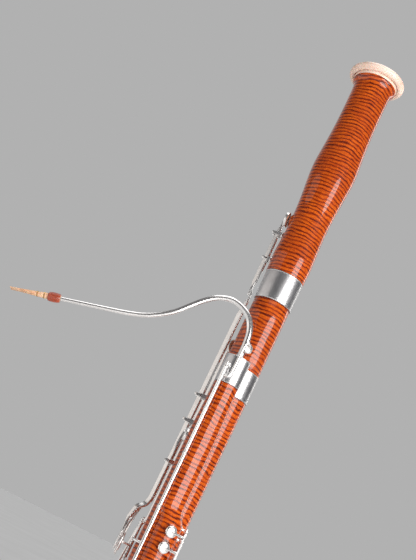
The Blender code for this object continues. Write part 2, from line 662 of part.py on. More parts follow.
def make_long_keys():
    lever_key("b_flat_lever", LONG_Y, 180,
              ((0.0303, 1.0040, 0.0019), (0.0303, 0.9900, 0.0022), (0.0312, 0.9700, 0.0044),
               (KEY_REACH, 0.9550, KEY_DEPTH), (KEY_REACH, 0.7200, KEY_DEPTH), (0.0415, 0.7050, 0.0046),
               (0.0440, 0.6850, 0.0030), (0.0440, 0.6600, 0.0020)),
              (KEY_REACH, 0.8556), touch=(0.0440, 0.6600, 0.0060, 0.0130))
    saddle("b_flat_saddle", LONG_Y, 180, 0.8556, long_radius(0.8556) + 0.0004, KEY_REACH, tall=0.0388)
    angle, pad = LOW_B
    lever_key("low_b_key", LONG_Y, angle,
              ((0.0322, 0.9380, 0.0020), (0.0323, 0.9150, 0.0034), (KEY_REACH, 0.8950, 0.0052),
               (KEY_REACH, 0.7000, 0.0052), (0.0395, 0.6850, 0.0042), (0.0410, 0.6600, 0.0028),
               (0.0410, 0.6300, 0.0020)),
              (KEY_REACH, 0.8190), cups=((pad, 0.0288, 0.0092),), touch=(0.0410, 0.6300, 0.0060, 0.0120))
    saddle("low_b_saddle", LONG_Y, angle, 0.8190, long_radius(0.8190) + 0.0004, KEY_REACH, tall=0.0372)
    angle, pad = LOW_C
    lever_key("low_c_key", LONG_Y, angle,
              ((0.0311, 0.8120, 0.0020), (0.0318, 0.7920, 0.0034), (0.0325, 0.7760, 0.0046),
               (0.0325, 0.7230, 0.0050), (0.0355, 0.7120, 0.0050), (0.0425, 0.7060, 0.0050),
               (0.0455, 0.6950, 0.0040), (0.0470, 0.6600, 0.0020)),
              (0.0325, 0.7680), cups=((pad, 0.0276, 0.0088),), width=0.0044,
              touch=(0.0470, 0.6680, 0.0048, 0.0160))
    saddle("low_c_saddle", LONG_Y, angle, 0.7680, long_radius(0.7680) + 0.0004, 0.0325, tall=0.0370)
    angle, pad = LOW_D
    lever_key("low_d_key", LONG_Y, angle,
              ((0.0300, 0.7080, 0.0020), (0.0308, 0.6880, 0.0034), (0.0310, 0.6700, 0.0046),
               (0.0310, 0.6300, 0.0046), (0.0365, 0.6150, 0.0036), (0.0380, 0.5850, 0.0020)),
              (0.0310, 0.6600), cups=((pad, 0.0255, 0.0088),), touch=(0.0380, 0.5850, 0.0065, 0.0110))
    saddle("low_d_saddle", LONG_Y, angle, 0.6600, long_radius(0.6600) + 0.0004, 0.0310, tall=0.0350)


def make_little_finger_keys():
    angle, reach = 15.0, 0.0265
    rod_posts("little_finger_posts", LONG_Y, angle, reach, (0.6530, 0.5790, 0.4900),
              lambda _, height: long_radius(height))
    for name, top, low, height, touch in (("low_c_sharp_key", 0.6500, 0.5820, 0.6400, 0.5960),
                                          ("low_d_sharp_key", 0.5760, 0.4930, 0.5600, 0.5100)):
        rod_key(name, LONG_Y, angle, reach, top, low,
                cups=((around(LONG_Y, 62, long_radius(height) + 0.0034, height),
                       around(LONG_Y, 62, 1, 0) - around(LONG_Y, 62, 0, 0), 0.0085),),
                touches=(((0.0365, 0.0120, touch), (1, -0.15, 0), 0.0060, 0.0100),))


def make_wing_keys():
    angle, reach = WHISPER_ROD
    rod_posts("whisper_posts", WING_Y, angle, reach, (0.8920, 0.6300), wing_surface)
    out = around(WING_Y, NIB_TURN, 1, 0) - around(WING_Y, NIB_TURN, 0, 0)
    pad = around(WING_Y, NIB_TURN, 0.0092, NIB_HEIGHT)
    arm = [around(WING_Y, -86, 0.0182, 0.8800), around(WING_Y, -80, 0.0180, 0.8860),
           around(WING_Y, -78, 0.0178, 0.9120), around(WING_Y, -76, 0.0176, 0.9215),
           around(WING_Y, -68, 0.0168, 0.9250), around(WING_Y, -56, 0.0150, 0.9235), pad + out * 0.0026]
    make_whisper(angle, reach, pad, out, arm)
    make_wing_thumb_keys()
    make_trill_keys()


def make_whisper(angle, reach, pad, out, arm):
    lower, upper = around(WING_Y, angle, reach, 0.6330), around(WING_Y, angle, reach, 0.8888)
    shape = cylinder(lower, upper, BARREL_R, 10)
    shape = fuse(shape, wire([around(WING_Y, angle, reach, 0.8780)] + arm, 0.0015, resolution=2))
    shape = fuse(shape, cylinder(pad, pad + out * 0.0038, 0.0060, 16, 0.0048))
    finger = wire([around(WING_Y, angle, reach, WHISPER_BRIDGE), around(WING_Y, -128, 0.0225, WHISPER_BRIDGE),
                   around(WING_Y, -144, 0.0225, WHISPER_BRIDGE)], 0.0014, resolution=2)
    shape = fuse(shape, finger)
    shape = cut(shape, cylinder(lower - Vector((0, 0, 0.01)), upper + Vector((0, 0, 0.01)), PIN_R + GAP, 8))
    node("whisper_key", shape, SILVER, lower)


def make_wing_thumb_keys():
    """Whisper touch and three flick keys on one rod, on the thumb side of the wing."""
    angle, reach = 165.0, 0.0235
    heights = (0.6950, 0.6480, 0.6010, 0.5540, 0.5070)
    rod_posts("wing_thumb_posts", WING_Y, angle, reach, heights, wing_surface)
    top, low = heights[0] - POST_CLEAR, heights[1] + POST_CLEAR
    push = [around(WING_Y, angle, reach, WHISPER_BRIDGE), around(WING_Y, 188, 0.0245, WHISPER_BRIDGE),
            around(WING_Y, 206, 0.0235, WHISPER_BRIDGE)]
    rod_key("whisper_touch", WING_Y, angle, reach, top, low, arms=(push,),
            touches=((around(WING_Y, 184, 0.0310, 0.6640), (-1, -0.1, 0), 0.0055, 0.0110),))
    for name, upper, lower in zip(("high_c_flick_key", "high_a_flick_key", "c_sharp_thumb_key"),
                                  heights[1:], heights[2:]):
        middle = (upper + lower) / 2
        rod_key(name, WING_Y, angle, reach, upper - POST_CLEAR, lower + POST_CLEAR,
                cups=((around(WING_Y, 210, 0.0205, middle + 0.010),
                       around(WING_Y, 210, 1, 0) - around(WING_Y, 210, 0, 0), 0.0055),),
                touches=((around(WING_Y, 150, 0.0330, middle - 0.008), (-1, 0.2, 0), 0.0048, 0.0090),))


TRILL_LOW = 0.5950


def make_trill_keys():
    """Two keys on two parallel rods, their pads side by side on the front of the epaulette."""
    lower_rod, upper_rod = (0.0, 0.0300, 0.6920), (14.0, 0.0292, 0.7040)
    pair = [posts_shape(WING_Y, angle, reach, (top, TRILL_LOW), wing_surface)
            for angle, reach, top in (lower_rod, upper_rod)]
    strut = cylinder(around(WING_Y, lower_rod[0], lower_rod[1], TRILL_LOW),
                     around(WING_Y, upper_rod[0], upper_rod[1], TRILL_LOW), 0.0012, 8)
    node("trill_posts", fuse(pair[0], strut, pair[1]), SILVER)
    out = around(WING_Y, -47, 1, 0) - around(WING_Y, -47, 0, 0)
    # the lower key's touch stands further out, so that its arm passes outside the upper key's tube
    for name, (angle, reach, top), height, touch in (
            ("trill_key_upper", upper_rod, 0.6960, around(WING_Y, 24, 0.0375, 0.6380)),
            ("trill_key_lower", lower_rod, 0.6780, around(WING_Y, 12, 0.0400, 0.6140))):
        over = around(WING_Y, -20, 0.0290, height)
        rod_key(name, WING_Y, angle, reach, top - POST_CLEAR, TRILL_LOW + POST_CLEAR,
                cups=((around(WING_Y, -47, 0.0268, height), out, 0.0062, over),),
                touches=((touch, (1, 0.2, 0), 0.0045, 0.0070),))


def make_boot_keys():
    """Right hand: four finger-side keys and four thumb keys on the flats of the boot."""
    flat = BOOT_R + 0.0002
    # each key: name, pad height, touch height, pad radius, touch radius, stands open
    for side, keys, posts, post_y, heights in (
            (1, (("g_key", 0.2150, 0.2150, 0.0095, 0.0080, True),
                 ("a_flat_key", 0.1650, 0.1820, 0.0085, 0.0065, False),
                 ("f_key", 0.1200, 0.1380, 0.0110, 0.0070, True),
                 ("f_sharp_key", 0.0840, 0.0960, 0.0075, 0.0060, False)),
             "boot_finger_posts", 0.0240, (0.2378, 0.1946, 0.1496, 0.1046, 0.0680)),
            (-1, (("b_flat_thumb_key", 0.2950, 0.2780, 0.0085, 0.0065, False),
                  ("e_pancake_key", 0.2220, 0.2420, 0.0110, 0.0125, True),
                  ("f_sharp_thumb_key", 0.1680, 0.1900, 0.0080, 0.0065, False),
                  ("a_flat_thumb_key", 0.1240, 0.1400, 0.0080, 0.0060, False)),
             "boot_thumb_posts", 0.0240, (0.3178, 0.2646, 0.2046, 0.1546, 0.1080))):
        reach = math.hypot(post_y, flat + 0.0060)
        angle = math.degrees(math.atan2(post_y, side * (flat + 0.0060)))
        make_boot_posts(posts, side, post_y, flat, heights)
        for key, upper_post, lower_post in zip(keys, heights, heights[1:]):
            name, cup_height, touch_height, cup_radius, touch_radius, stands_open = key
            lift = PAD_SEAT + (PAD_OPENING if stands_open else 0.0)
            touch_y = -0.0120 if stands_open else 0.0340
            rod_key(name, 0.0, angle, reach, upper_post - POST_CLEAR, lower_post + POST_CLEAR,
                    cups=(((side * (flat + lift), 0.0045, cup_height), (side, 0, 0), cup_radius),),
                    touches=(((side * (flat + 0.0110), touch_y, touch_height), (side, 0.0, 0),
                              touch_radius, touch_radius * 1.25),))


def make_boot_posts(name, side, post_y, flat, heights):
    out = side * (flat + 0.0060)
    # the wood curves away from the flat at the post, so the foot reaches down to it
    surface = math.sqrt(BOOT_R ** 2 - (post_y - LONG_Y) ** 2) + 0.0002
    shape = cylinder((out, post_y, heights[0] + 0.002), (out, post_y, heights[-1] - 0.002), PIN_R, 8)
    for height in heights:
        shape = fuse(shape, ball((out, post_y, height), 0.0024),
                     cylinder((side * surface, post_y, height), (out, post_y, height), 0.0016, 8))
    return node(name, shape, SILVER)


def make_hardware():
    """The hand-rest socket and the strap ring on the boot."""
    socket = block((-0.0012, WING_Y - BOOT_R - 0.0050, 0.3300), (0.0120, 0.0090, 0.0180))
    socket = cut(socket, cylinder((-0.0012, WING_Y - BOOT_R - 0.0055, 0.30),
                                  (-0.0012, WING_Y - BOOT_R - 0.0055, 0.36), 0.0026, 12))
    node("hand_rest_socket", socket, SILVER)
    screw = fuse(cylinder((-0.0075, WING_Y - BOOT_R - 0.0055, 0.3300),
                          (-0.0130, WING_Y - BOOT_R - 0.0055, 0.3300), 0.0018, 12),
                 cylinder((-0.0120, WING_Y - BOOT_R - 0.0055, 0.3300),
                          (-0.0160, WING_Y - BOOT_R - 0.0055, 0.3300), 0.0048, 16))
    node("hand_rest_screw", screw, SILVER, (-0.0120, WING_Y - BOOT_R - 0.0055, 0.3300))
    back = LONG_Y + BOOT_R
    eye = fuse(cylinder((0, back + 0.0009, 0.4290), (0, back + 0.0020, 0.4290), 0.0045, 16),
               block((0, back + 0.0040, 0.4290), (0.0022, 0.0060, 0.0060)))
    eye = cut(eye, cylinder((-0.01, back + 0.0045, 0.4290), (0.01, back + 0.0045, 0.4290), 0.0015, 10))
    node("strap_eye", eye, SILVER)
    loop = []
    for index in range(16):
        angle = math.tau * index / 16
        loop.append((0.0085 * math.sin(angle), back + 0.0045, 0.4205 + 0.0085 * math.cos(angle)))
    ring = bpy.data.curves.new("ring", "CURVE")
    ring.dimensions = "3D"
    ring.bevel_depth = 0.0010
    ring.bevel_resolution = 2
    line = ring.splines.new("POLY")
    line.points.add(len(loop) - 1)
    for index, point in enumerate(loop):
        line.points[index].co = (*point, 1.0)
    line.use_cyclic_u = True
    made = bpy.data.objects.new("ring", ring)
    bpy.context.scene.collection.objects.link(made)
    node("strap_ring", evaluated(made), SILVER, (0, back + 0.0045, 0.4290))


make_boot()
make_wing()
make_long_joint()
make_bell()
make_crook()
make_reed()
make_bell_keys()
make_long_keys()
make_little_finger_keys()
make_wing_keys()
make_boot_keys()
make_hardware()
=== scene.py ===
"""Bassoon: the finished surfaces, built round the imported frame.

Metres, +Z up the instrument. Angles are degrees round a joint's upright axis, from +X towards +Y.
Keys repeat the CAD's own rods, posts, pivots and pad places; bodies, bands and the bell take their
ends from the frame's boxes.
"""
import json
import math

import bmesh
import bpy
from mathutils import Matrix, Vector


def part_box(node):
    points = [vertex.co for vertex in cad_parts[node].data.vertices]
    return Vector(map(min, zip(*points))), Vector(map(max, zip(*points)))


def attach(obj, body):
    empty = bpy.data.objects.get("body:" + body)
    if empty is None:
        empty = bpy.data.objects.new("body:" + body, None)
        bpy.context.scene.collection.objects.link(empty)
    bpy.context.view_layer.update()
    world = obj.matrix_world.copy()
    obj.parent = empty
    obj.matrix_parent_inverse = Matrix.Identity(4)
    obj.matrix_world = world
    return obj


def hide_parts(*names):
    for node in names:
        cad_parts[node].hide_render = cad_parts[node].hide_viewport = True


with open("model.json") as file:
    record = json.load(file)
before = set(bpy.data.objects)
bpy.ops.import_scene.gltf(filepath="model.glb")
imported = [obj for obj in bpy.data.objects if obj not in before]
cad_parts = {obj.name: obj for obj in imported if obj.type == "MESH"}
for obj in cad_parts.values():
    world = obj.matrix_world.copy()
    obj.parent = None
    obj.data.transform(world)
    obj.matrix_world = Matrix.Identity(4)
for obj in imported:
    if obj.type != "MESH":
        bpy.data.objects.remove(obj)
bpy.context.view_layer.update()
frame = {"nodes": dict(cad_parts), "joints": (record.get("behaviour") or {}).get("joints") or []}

MM = 0.001
UP = Vector((0.0, 0.0, 1.0))
PIVOT = {joint["child"]: Vector(joint["pos_m"]) for joint in frame["joints"]}


def span(node):
    """Lowest and highest point of a CAD node."""
    low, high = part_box(node)
    return low.z, high.z


def middle_y(node):
    low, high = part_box(node)
    return (low.y + high.y) / 2


def half_width(node):
    low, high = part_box(node)
    return (high.x - low.x) / 2


LONG_Y = middle_y("bell_ring")
WING_Y = middle_y("wing_ferrule")
BOOT_R = 0.0215
PIN_R = 0.0009
BARREL_R = 0.0022
POST_CLEAR = 0.0028         # from a post's middle to the end of the tube beside it
PAD_INSET = 0.0006          # between a cup's outside and its pad's edge
PAD_SEAT = 0.0034           # a closed pad's rim above the wood
PAD_OPENING = 0.0025        # how far an open pad's rim stands above that


# ---- camera, lights, floor -----------------------------------------------------------------------
EYE_DISTANCE = 1.068
EYE_SIDE = 12.6             # the eye stands this far round from straight ahead of the long joint
EYE_HEIGHT = 0.6735
LOOK_AZIMUTH = 17.18
LOOK_UP = 16.45
CAMERA_ROLL = 26.4
LENS = 57.4


def heading(azimuth, elevation=0.0):
    """Unit vector at an elevation and an azimuth, which runs from +Y towards -X."""
    a, e = math.radians(azimuth), math.radians(elevation)
    return Vector((-math.sin(a) * math.cos(e), math.cos(a) * math.cos(e), math.sin(e)))


def make_camera():
    data = bpy.data.cameras.new("camera")
    data.sensor_width = 36.0
    data.lens = LENS
    data.clip_start = 0.05
    eye = Vector((0.0, LONG_Y, 0.0)) - heading(EYE_SIDE) * EYE_DISTANCE
    eye.z = EYE_HEIGHT
    forward = heading(LOOK_AZIMUTH, LOOK_UP)
    right = forward.cross(UP).normalized()
    above = right.cross(forward)
    roll = math.radians(CAMERA_ROLL)
    across = right * math.cos(roll) + above * math.sin(roll)
    along = above * math.cos(roll) - right * math.sin(roll)
    turn = Matrix((across, along, -forward)).transposed().to_4x4()
    camera = bpy.data.objects.new("camera", data)
    camera.matrix_world = Matrix.Translation(eye) @ turn
    bpy.context.scene.collection.objects.link(camera)
    bpy.context.scene.camera = camera


def softbox(name, azimuth, distance, height, size, power, shape="RECTANGLE", aim_height=0.95,
            colour=(1.0, 0.97, 0.93)):
    """An area lamp that faces the instrument from an azimuth round it."""
    data = bpy.data.lights.new(name, "AREA")
    data.shape = shape
    data.size, data.size_y = size
    data.energy = power
    data.color = colour
    lamp = bpy.data.objects.new(name, data)
    place = heading(azimuth) * distance
    lamp.location = (place.x, place.y, height)
    aim = Vector((0.0, 0.0, aim_height)) - lamp.location
    lamp.rotation_mode = "QUATERNION"
    lamp.rotation_quaternion = aim.to_track_quat("-Z", "Y")
    bpy.context.scene.collection.objects.link(lamp)


def make_studio():
    """A wide key lamp right of the camera, a broad dim one on the left, a strip behind, a soft ceiling."""
    camera_side = 180.0 + EYE_SIDE
    softbox("key_right", camera_side + 42.0, 2.2, 1.00, (2.00, 1.8), 60.0, "ELLIPSE",
            colour=(1.0, 0.985, 0.97))
    softbox("fill_left", camera_side - 80.0, 2.5, 1.00, (3.40, 2.0), 16.5, colour=(1.0, 0.94, 0.89))
    softbox("rim_right", camera_side + 140.0, 2.4, 1.50, (0.30, 2.2), 6.0)
    softbox("overhead", camera_side, 1.2, 3.20, (1.80, 1.8), 8.0)
    ceiling = bpy.data.lights.new("ceiling", "SUN")
    ceiling.energy = 1.6
    ceiling.angle = math.radians(60.0)
    lamp = bpy.data.objects.new("ceiling", ceiling)
    bpy.context.scene.collection.objects.link(lamp)
    world = bpy.data.worlds.new("studio")
    world.use_nodes = True
    bpy.context.scene.world = world
    tree = world.node_tree
    where = tree.nodes.new("ShaderNodeTexCoord")
    ahead = tree.nodes.new("ShaderNodeVectorMath")
    ahead.operation = "DOT_PRODUCT"
    ahead.inputs[1].default_value = heading(LOOK_AZIMUTH, LOOK_UP)
    ramp = tree.nodes.new("ShaderNodeMapRange")
    ramp.interpolation_type = "SMOOTHSTEP"
    ramp.inputs["From Min"].default_value = 0.35
    ramp.inputs["From Max"].default_value = 0.92
    mix = tree.nodes.new("ShaderNodeMix")
    mix.data_type = "RGBA"
    mix.inputs["A"].default_value = (0.09, 0.09, 0.095, 1.0)
    mix.inputs["B"].default_value = (0.44, 0.44, 0.44, 1.0)
    tree.links.new(where.outputs["Generated"], ahead.inputs[0])
    tree.links.new(ahead.outputs["Value"], ramp.inputs["Value"])
    tree.links.new(ramp.outputs["Result"], mix.inputs["Factor"])
    tree.links.new(mix.outputs["Result"], tree.nodes["Background"].inputs["Color"])
    bpy.context.scene.view_settings.view_transform = "Standard"


def make_floor():
    shape = bmesh.new()
    bmesh.ops.create_grid(shape, x_segments=8, y_segments=8, size=40.0)
    mesh = bpy.data.meshes.new("floor")
    shape.to_mesh(mesh)
    shape.free()
    mesh.materials.append(paint_floor())
    floor = bpy.data.objects.new("floor", mesh)
    bpy.context.scene.collection.objects.link(floor)


# ---- materials -----------------------------------------------------------------------------------
class Paint:
    """A Principled material and short calls for the nodes that feed it."""

    def __init__(self, name, **sockets):
        self.material = bpy.data.materials.new(name)
        self.material.use_nodes = True
        self.tree = self.material.node_tree
        self.shader = self.tree.nodes["Principled BSDF"]
        for socket, value in sockets.items():
            self.shader.inputs[socket.replace("_", " ")].default_value = value
        self.place = self.tree.nodes.new("ShaderNodeTexCoord").outputs["Object"]

    def add(self, kind, **sockets):
        """A node whose sockets are set to a value, or linked when they are given an output."""
        made = self.tree.nodes.new("ShaderNode" + kind)
        for socket, value in sockets.items():
            entry = made.inputs[socket.replace("_", " ")]
            if isinstance(value, bpy.types.NodeSocket):
                self.tree.links.new(value, entry)
            else:
                entry.default_value = value
        return made

    def stretched(self, x, y, z, place=None):
        return self.add("Mapping", Vector=place or self.place, Scale=(x, y, z)).outputs["Vector"]

    def lifted(self, value, height):
        """The place moved upwards by a value times a height."""
        made = self.add("VectorMath")
        made.operation = "MULTIPLY_ADD"
        self.tree.links.new(value, made.inputs[0])
        made.inputs[1].default_value = (0.0, 0.0, height)
        self.tree.links.new(self.place, made.inputs[2])
        return made.outputs["Vector"]

    def noise(self, vector, scale, detail=2.0, roughness=0.5, distortion=0.0):
        return self.add("TexNoise", Vector=vector, Scale=scale, Detail=detail, Roughness=roughness,
                        Distortion=distortion).outputs["Fac"]

    def ramp(self, factor, *stops):
        """A colour ramp: stops are (position, colour)."""
        made = self.add("ValToRGB", Fac=factor)
        line = made.color_ramp
        while len(line.elements) < len(stops):
            line.elements.new(0.5)
        for element, (position, colour) in zip(line.elements, stops):
            element.position = position
            element.color = (*colour, 1.0)
        return made.outputs["Color"]

    def range(self, value, low, high):
        return self.add("MapRange", Value=value, To_Min=low, To_Max=high).outputs["Result"]

    def math(self, operation, first, second):
        made = self.add("Math")
        made.operation = operation
        for entry, value in zip(made.inputs, (first, second)):
            if isinstance(value, bpy.types.NodeSocket):
                self.tree.links.new(value, entry)
            else:
                entry.default_value = value
        return made.outputs["Value"]

    def blend(self, factor, first, second, mode="MIX"):
        made = self.tree.nodes.new("ShaderNodeMix")
        made.data_type = "RGBA"
        made.blend_type = mode
        for entry, value in (("Factor", factor), ("A", first), ("B", second)):
            if isinstance(value, bpy.types.NodeSocket):
                self.tree.links.new(value, made.inputs[entry])
            elif entry == "Factor":
                made.inputs[entry].default_value = value
            else:
                made.inputs[entry].default_value = (*value, 1.0)
        return made.outputs["Result"]

    def tinted(self, share, colour, factor, dark, low, high):
        """A colour multiplied by a dark tint where the factor is low, and left alone where it is high."""
        tint = self.ramp(factor, (low, dark), (high, (1, 1, 1)))
        return self.blend(share, colour, tint, "MULTIPLY")

    def feed(self, socket, value):
        self.tree.links.new(value, self.shader.inputs[socket])

    def bump(self, height, distance, strength=1.0):
        made = self.add("Bump", Height=height, Distance=distance, Strength=strength)
        self.tree.links.new(made.outputs["Normal"], self.shader.inputs["Normal"])


def paint_maple():
    """Red-orange varnish over flamed maple: dark wavy curls across fine upright grain."""
    paint = Paint("flamed_maple", Specular_IOR_Level=0.15, Coat_Weight=1.0, Coat_Roughness=0.05,
                  Coat_IOR=1.42)
    sway = paint.noise(paint.stretched(30.0, 30.0, 30.0), 1.0, 2.0)
    swayed = paint.lifted(sway, 0.0085)
    wave = paint.add("TexWave", Vector=paint.stretched(0.55, 0.55, 1.0, swayed), Scale=61.0,
                     Distortion=4.4, Detail=3.0, Detail_Scale=1.3, Detail_Roughness=0.6)
    wave.bands_direction = "Z"
    hairs = paint.noise(paint.stretched(60.0, 60.0, 520.0), 1.0, 2.5, 0.55, 1.2)
    patch = paint.noise(paint.stretched(38.0, 38.0, 60.0), 1.0, 2.0)
    curl = paint.ramp(wave.outputs["Fac"], (0.03, (0.02,) * 3), (0.20, (0.30,) * 3), (0.46, (0.80,) * 3),
                      (1.0, (1.0,) * 3))
    lines = paint.ramp(hairs, (0.36, (0.18,) * 3), (0.56, (0.95,) * 3))
    stripes = paint.blend(0.36, curl, lines)
    calmed = paint.blend(paint.range(patch, -0.15, 0.75), stripes, (0.76, 0.76, 0.76))
    figure = paint.ramp(calmed, (0.14, (0.040, 0.0028, 0.0007)), (0.40, (0.160, 0.0135, 0.0008)),
                        (0.66, (0.47, 0.059, 0.0020)), (0.96, (0.74, 0.138, 0.004)))
    streaks = paint.noise(paint.stretched(520.0, 520.0, 14.0), 1.0, 3.0, 0.6)
    grain = paint.tinted(0.28, figure, streaks, (0.42, 0.30, 0.22), 0.30, 0.62)
    drift = paint.noise(paint.stretched(9.0, 9.0, 12.0), 1.0, 2.0)
    paint.feed("Base Color", paint.tinted(0.55, grain, drift, (0.60, 0.44, 0.36), 0.30, 0.70))
    paint.feed("Roughness", paint.range(streaks, 0.34, 0.52))
    paint.bump(paint.math("ADD", streaks, calmed), 0.00003, 0.30)
    return paint.material


def paint_metal(name, bright, dull, low, high, scratch=900.0, metallic=1.0):
    """Polished plate with soft tarnish, wiping marks and hairline scratches."""
    paint = Paint(name, Metallic=metallic)
    cloud = paint.noise(paint.place, 55.0, 4.0, 0.6)
    hairs = paint.noise(paint.stretched(scratch, scratch, 40.0), 1.0, 2.0, 0.7)
    paint.feed("Base Color", paint.ramp(cloud, (0.30, dull), (0.66, bright)))
    paint.feed("Roughness", paint.range(paint.math("MULTIPLY", cloud, hairs), low, high))
    paint.bump(hairs, 0.00001, 0.25)
    return paint.material


def paint_ring():
    """Warm ivory-coloured resin with faint growth lines."""
    paint = Paint("ring_resin", Coat_Weight=0.35, Coat_Roughness=0.12, Subsurface_Weight=0.12,
                  Subsurface_Scale=0.003)
    lines = paint.noise(paint.stretched(60.0, 240.0, 700.0), 1.0, 3.0, 0.55, 0.4)
    cloud = paint.noise(paint.place, 40.0, 3.0)
    base = paint.ramp(cloud, (0.32, (0.80, 0.57, 0.46)), (0.68, (0.93, 0.73, 0.62)))
    paint.feed("Base Color", paint.tinted(0.35, base, lines, (0.78, 0.62, 0.50), 0.35, 0.6))
    paint.feed("Roughness", paint.range(lines, 0.28, 0.44))
    paint.bump(lines, 0.00004, 0.3)
    return paint.material


def paint_pad():
    """Tan goatskin drawn over felt."""
    paint = Paint("pad_skin", Sheen_Weight=0.25, Sheen_Roughness=0.4)
    pebbles = paint.add("TexVoronoi", Vector=paint.place, Scale=1700.0).outputs["Distance"]
    cloud = paint.noise(paint.place, 180.0, 3.0)
    paint.feed("Base Color", paint.ramp(cloud, (0.30, (0.46, 0.19, 0.10)), (0.70, (0.74, 0.38, 0.24))))
    paint.feed("Roughness", paint.range(pebbles, 0.55, 0.78))
    paint.bump(pebbles, 0.00006, 0.5)
    return paint.material


def paint_thread(name, dark, light, pitch):
    """Waxed thread: fine windings, each a ridge. Its colour is painted darker in the grooves between turns, which
    is painted shade, mixed with the fibre's own variation.
    """
    paint = Paint(name, Coat_Weight=0.25, Coat_Roughness=0.25)
    wave = paint.add("TexWave", Vector=paint.place, Scale=0.314 / pitch, Distortion=0.4, Detail=1.0)
    wave.bands_direction = "Z"
    fibre = paint.noise(paint.place, 1500.0, 2.0)
    # painted shade: the windings' colour darkens into the grooves between turns, multiplied by the fibre's own
    # variation
    fibre_and_groove_shade = paint.math("MULTIPLY", wave.outputs["Fac"], fibre)
    paint.feed("Base Color", paint.ramp(fibre_and_groove_shade, (0.05, dark), (0.5, light)))
    paint.feed("Roughness", paint.range(fibre, 0.45, 0.70))
    paint.bump(wave.outputs["Fac"], 0.0001, 0.6)
    return paint.material


def paint_winding():
    """Thread of the reed's turban, dipped in varnish; its turns are real windings."""
    paint = Paint("reed_thread", Coat_Weight=0.7, Coat_Roughness=0.12)
    fibre = paint.noise(paint.place, 2600.0, 2.0)
    paint.feed("Base Color", paint.ramp(fibre, (0.30, (0.20, 0.018, 0.006)), (0.70, (0.52, 0.085, 0.022))))
    paint.feed("Roughness", paint.range(fibre, 0.30, 0.50))
    paint.bump(fibre, 0.00004, 0.4)
    return paint.material


def paint_cane(along):
    """Scraped cane: fibres run down the reed."""
    paint = Paint("reed_cane", Subsurface_Weight=0.10, Subsurface_Scale=0.001)
    fibres = paint.noise(paint.stretched(*(90.0 if part > 0.9 else 1500.0 for part in along)), 1.0, 3.0, 0.6)
    cloud = paint.noise(paint.place, 110.0, 2.0)
    base = paint.ramp(cloud, (0.3, (0.66, 0.36, 0.20)), (0.7, (0.86, 0.58, 0.38)))
    paint.feed("Base Color", paint.tinted(0.4, base, fibres, (0.62, 0.42, 0.28), 0.36, 0.6))
    paint.feed("Roughness", paint.range(fibres, 0.45, 0.65))
    paint.bump(fibres, 0.00005, 0.5)
    return paint.material


def paint_rubber():
    """Turned hard rubber."""
    paint = Paint("hard_rubber", Coat_Weight=0.3, Coat_Roughness=0.2)
    rings = paint.noise(paint.stretched(8.0, 8.0, 1200.0), 1.0, 2.0)
    paint.feed("Base Color", paint.ramp(rings, (0.3, (0.010, 0.009, 0.008)), (0.7, (0.040, 0.034, 0.030))))
    paint.feed("Roughness", paint.range(rings, 0.25, 0.45))
    paint.bump(rings, 0.00004, 0.4)
    return paint.material


def paint_floor():
    """Pale matt studio floor with the faintest mottle."""
    paint = Paint("studio_floor")
    cloud = paint.noise(paint.place, 1.3, 3.0)
    paint.feed("Base Color", paint.ramp(cloud, (0.3, (0.66, 0.66, 0.655)), (0.7, (0.71, 0.71, 0.705))))
    paint.feed("Roughness", paint.range(cloud, 0.60, 0.75))
    return paint.material


# ---- mesh tools ----------------------------------------------------------------------------------
def around(axis_y, angle, reach, height):
    """World point at an angle and a distance from an upright axis."""
    turn = math.radians(angle)
    return Vector((reach * math.cos(turn), axis_y + reach * math.sin(turn), height))


def outward(angle):
    return around(0.0, angle, 1.0, 0.0)


def upright(axis_y, height=0.0):
    return Matrix.Translation((0.0, axis_y, height))


def facing(centre, out, above=UP):
    """Frame whose Z points along out and whose Y is as near to above as it can be."""
    out = Vector(out).normalized()
    across = Vector(above).cross(out).normalized()
    turn = Matrix((across, out.cross(across), out)).transposed().to_4x4()
    return Matrix.Translation(centre) @ turn


def softened(points, radius, steps=5, closed=False):
    """A run of points with each corner turned into a short curve."""
    points = [Vector(point) for point in points]
    count = len(points)
    made = [] if closed else [points[0]]
    for index in range(0 if closed else 1, count if closed else count - 1):
        corner = points[index]
        before, after = points[index - 1] - corner, points[(index + 1) % count] - corner
        start = corner + before.normalized() * min(radius, before.length * 0.45)
        end = corner + after.normalized() * min(radius, after.length * 0.45)
        for step in range(steps + 1):
            t = step / steps
            made.append(start * (1 - t) ** 2 + corner * (2 * t * (1 - t)) + end * t ** 2)
    return made if closed else made + [points[-1]]


def smooth_route(points, steps):
    """Points on a Catmull-Rom curve through the given ones."""
    points = [Vector(point) for point in points]
    padded = [points[0] * 2 - points[1], *points, points[-1] * 2 - points[-2]]
    route = []
    for index in range(1, len(padded) - 2):
        p0, p1, p2, p3 = padded[index - 1:index + 3]
        for step in range(steps):
            t = step / steps
            route.append(0.5 * (2 * p1 + (p2 - p0) * t + (2 * p0 - 5 * p1 + 4 * p2 - p3) * t * t
                                + (3 * p1 - p0 - 3 * p2 + p3) * t ** 3))
    return route + [points[-1]]


def full_turn(count):
    return [math.tau * step / count for step in range(count)]


LEVER_SQUARENESS = 0.42     # 1 is an ellipse, 0 a rectangle


def signed_power(value, power):
    return math.copysign(abs(value) ** power, value)


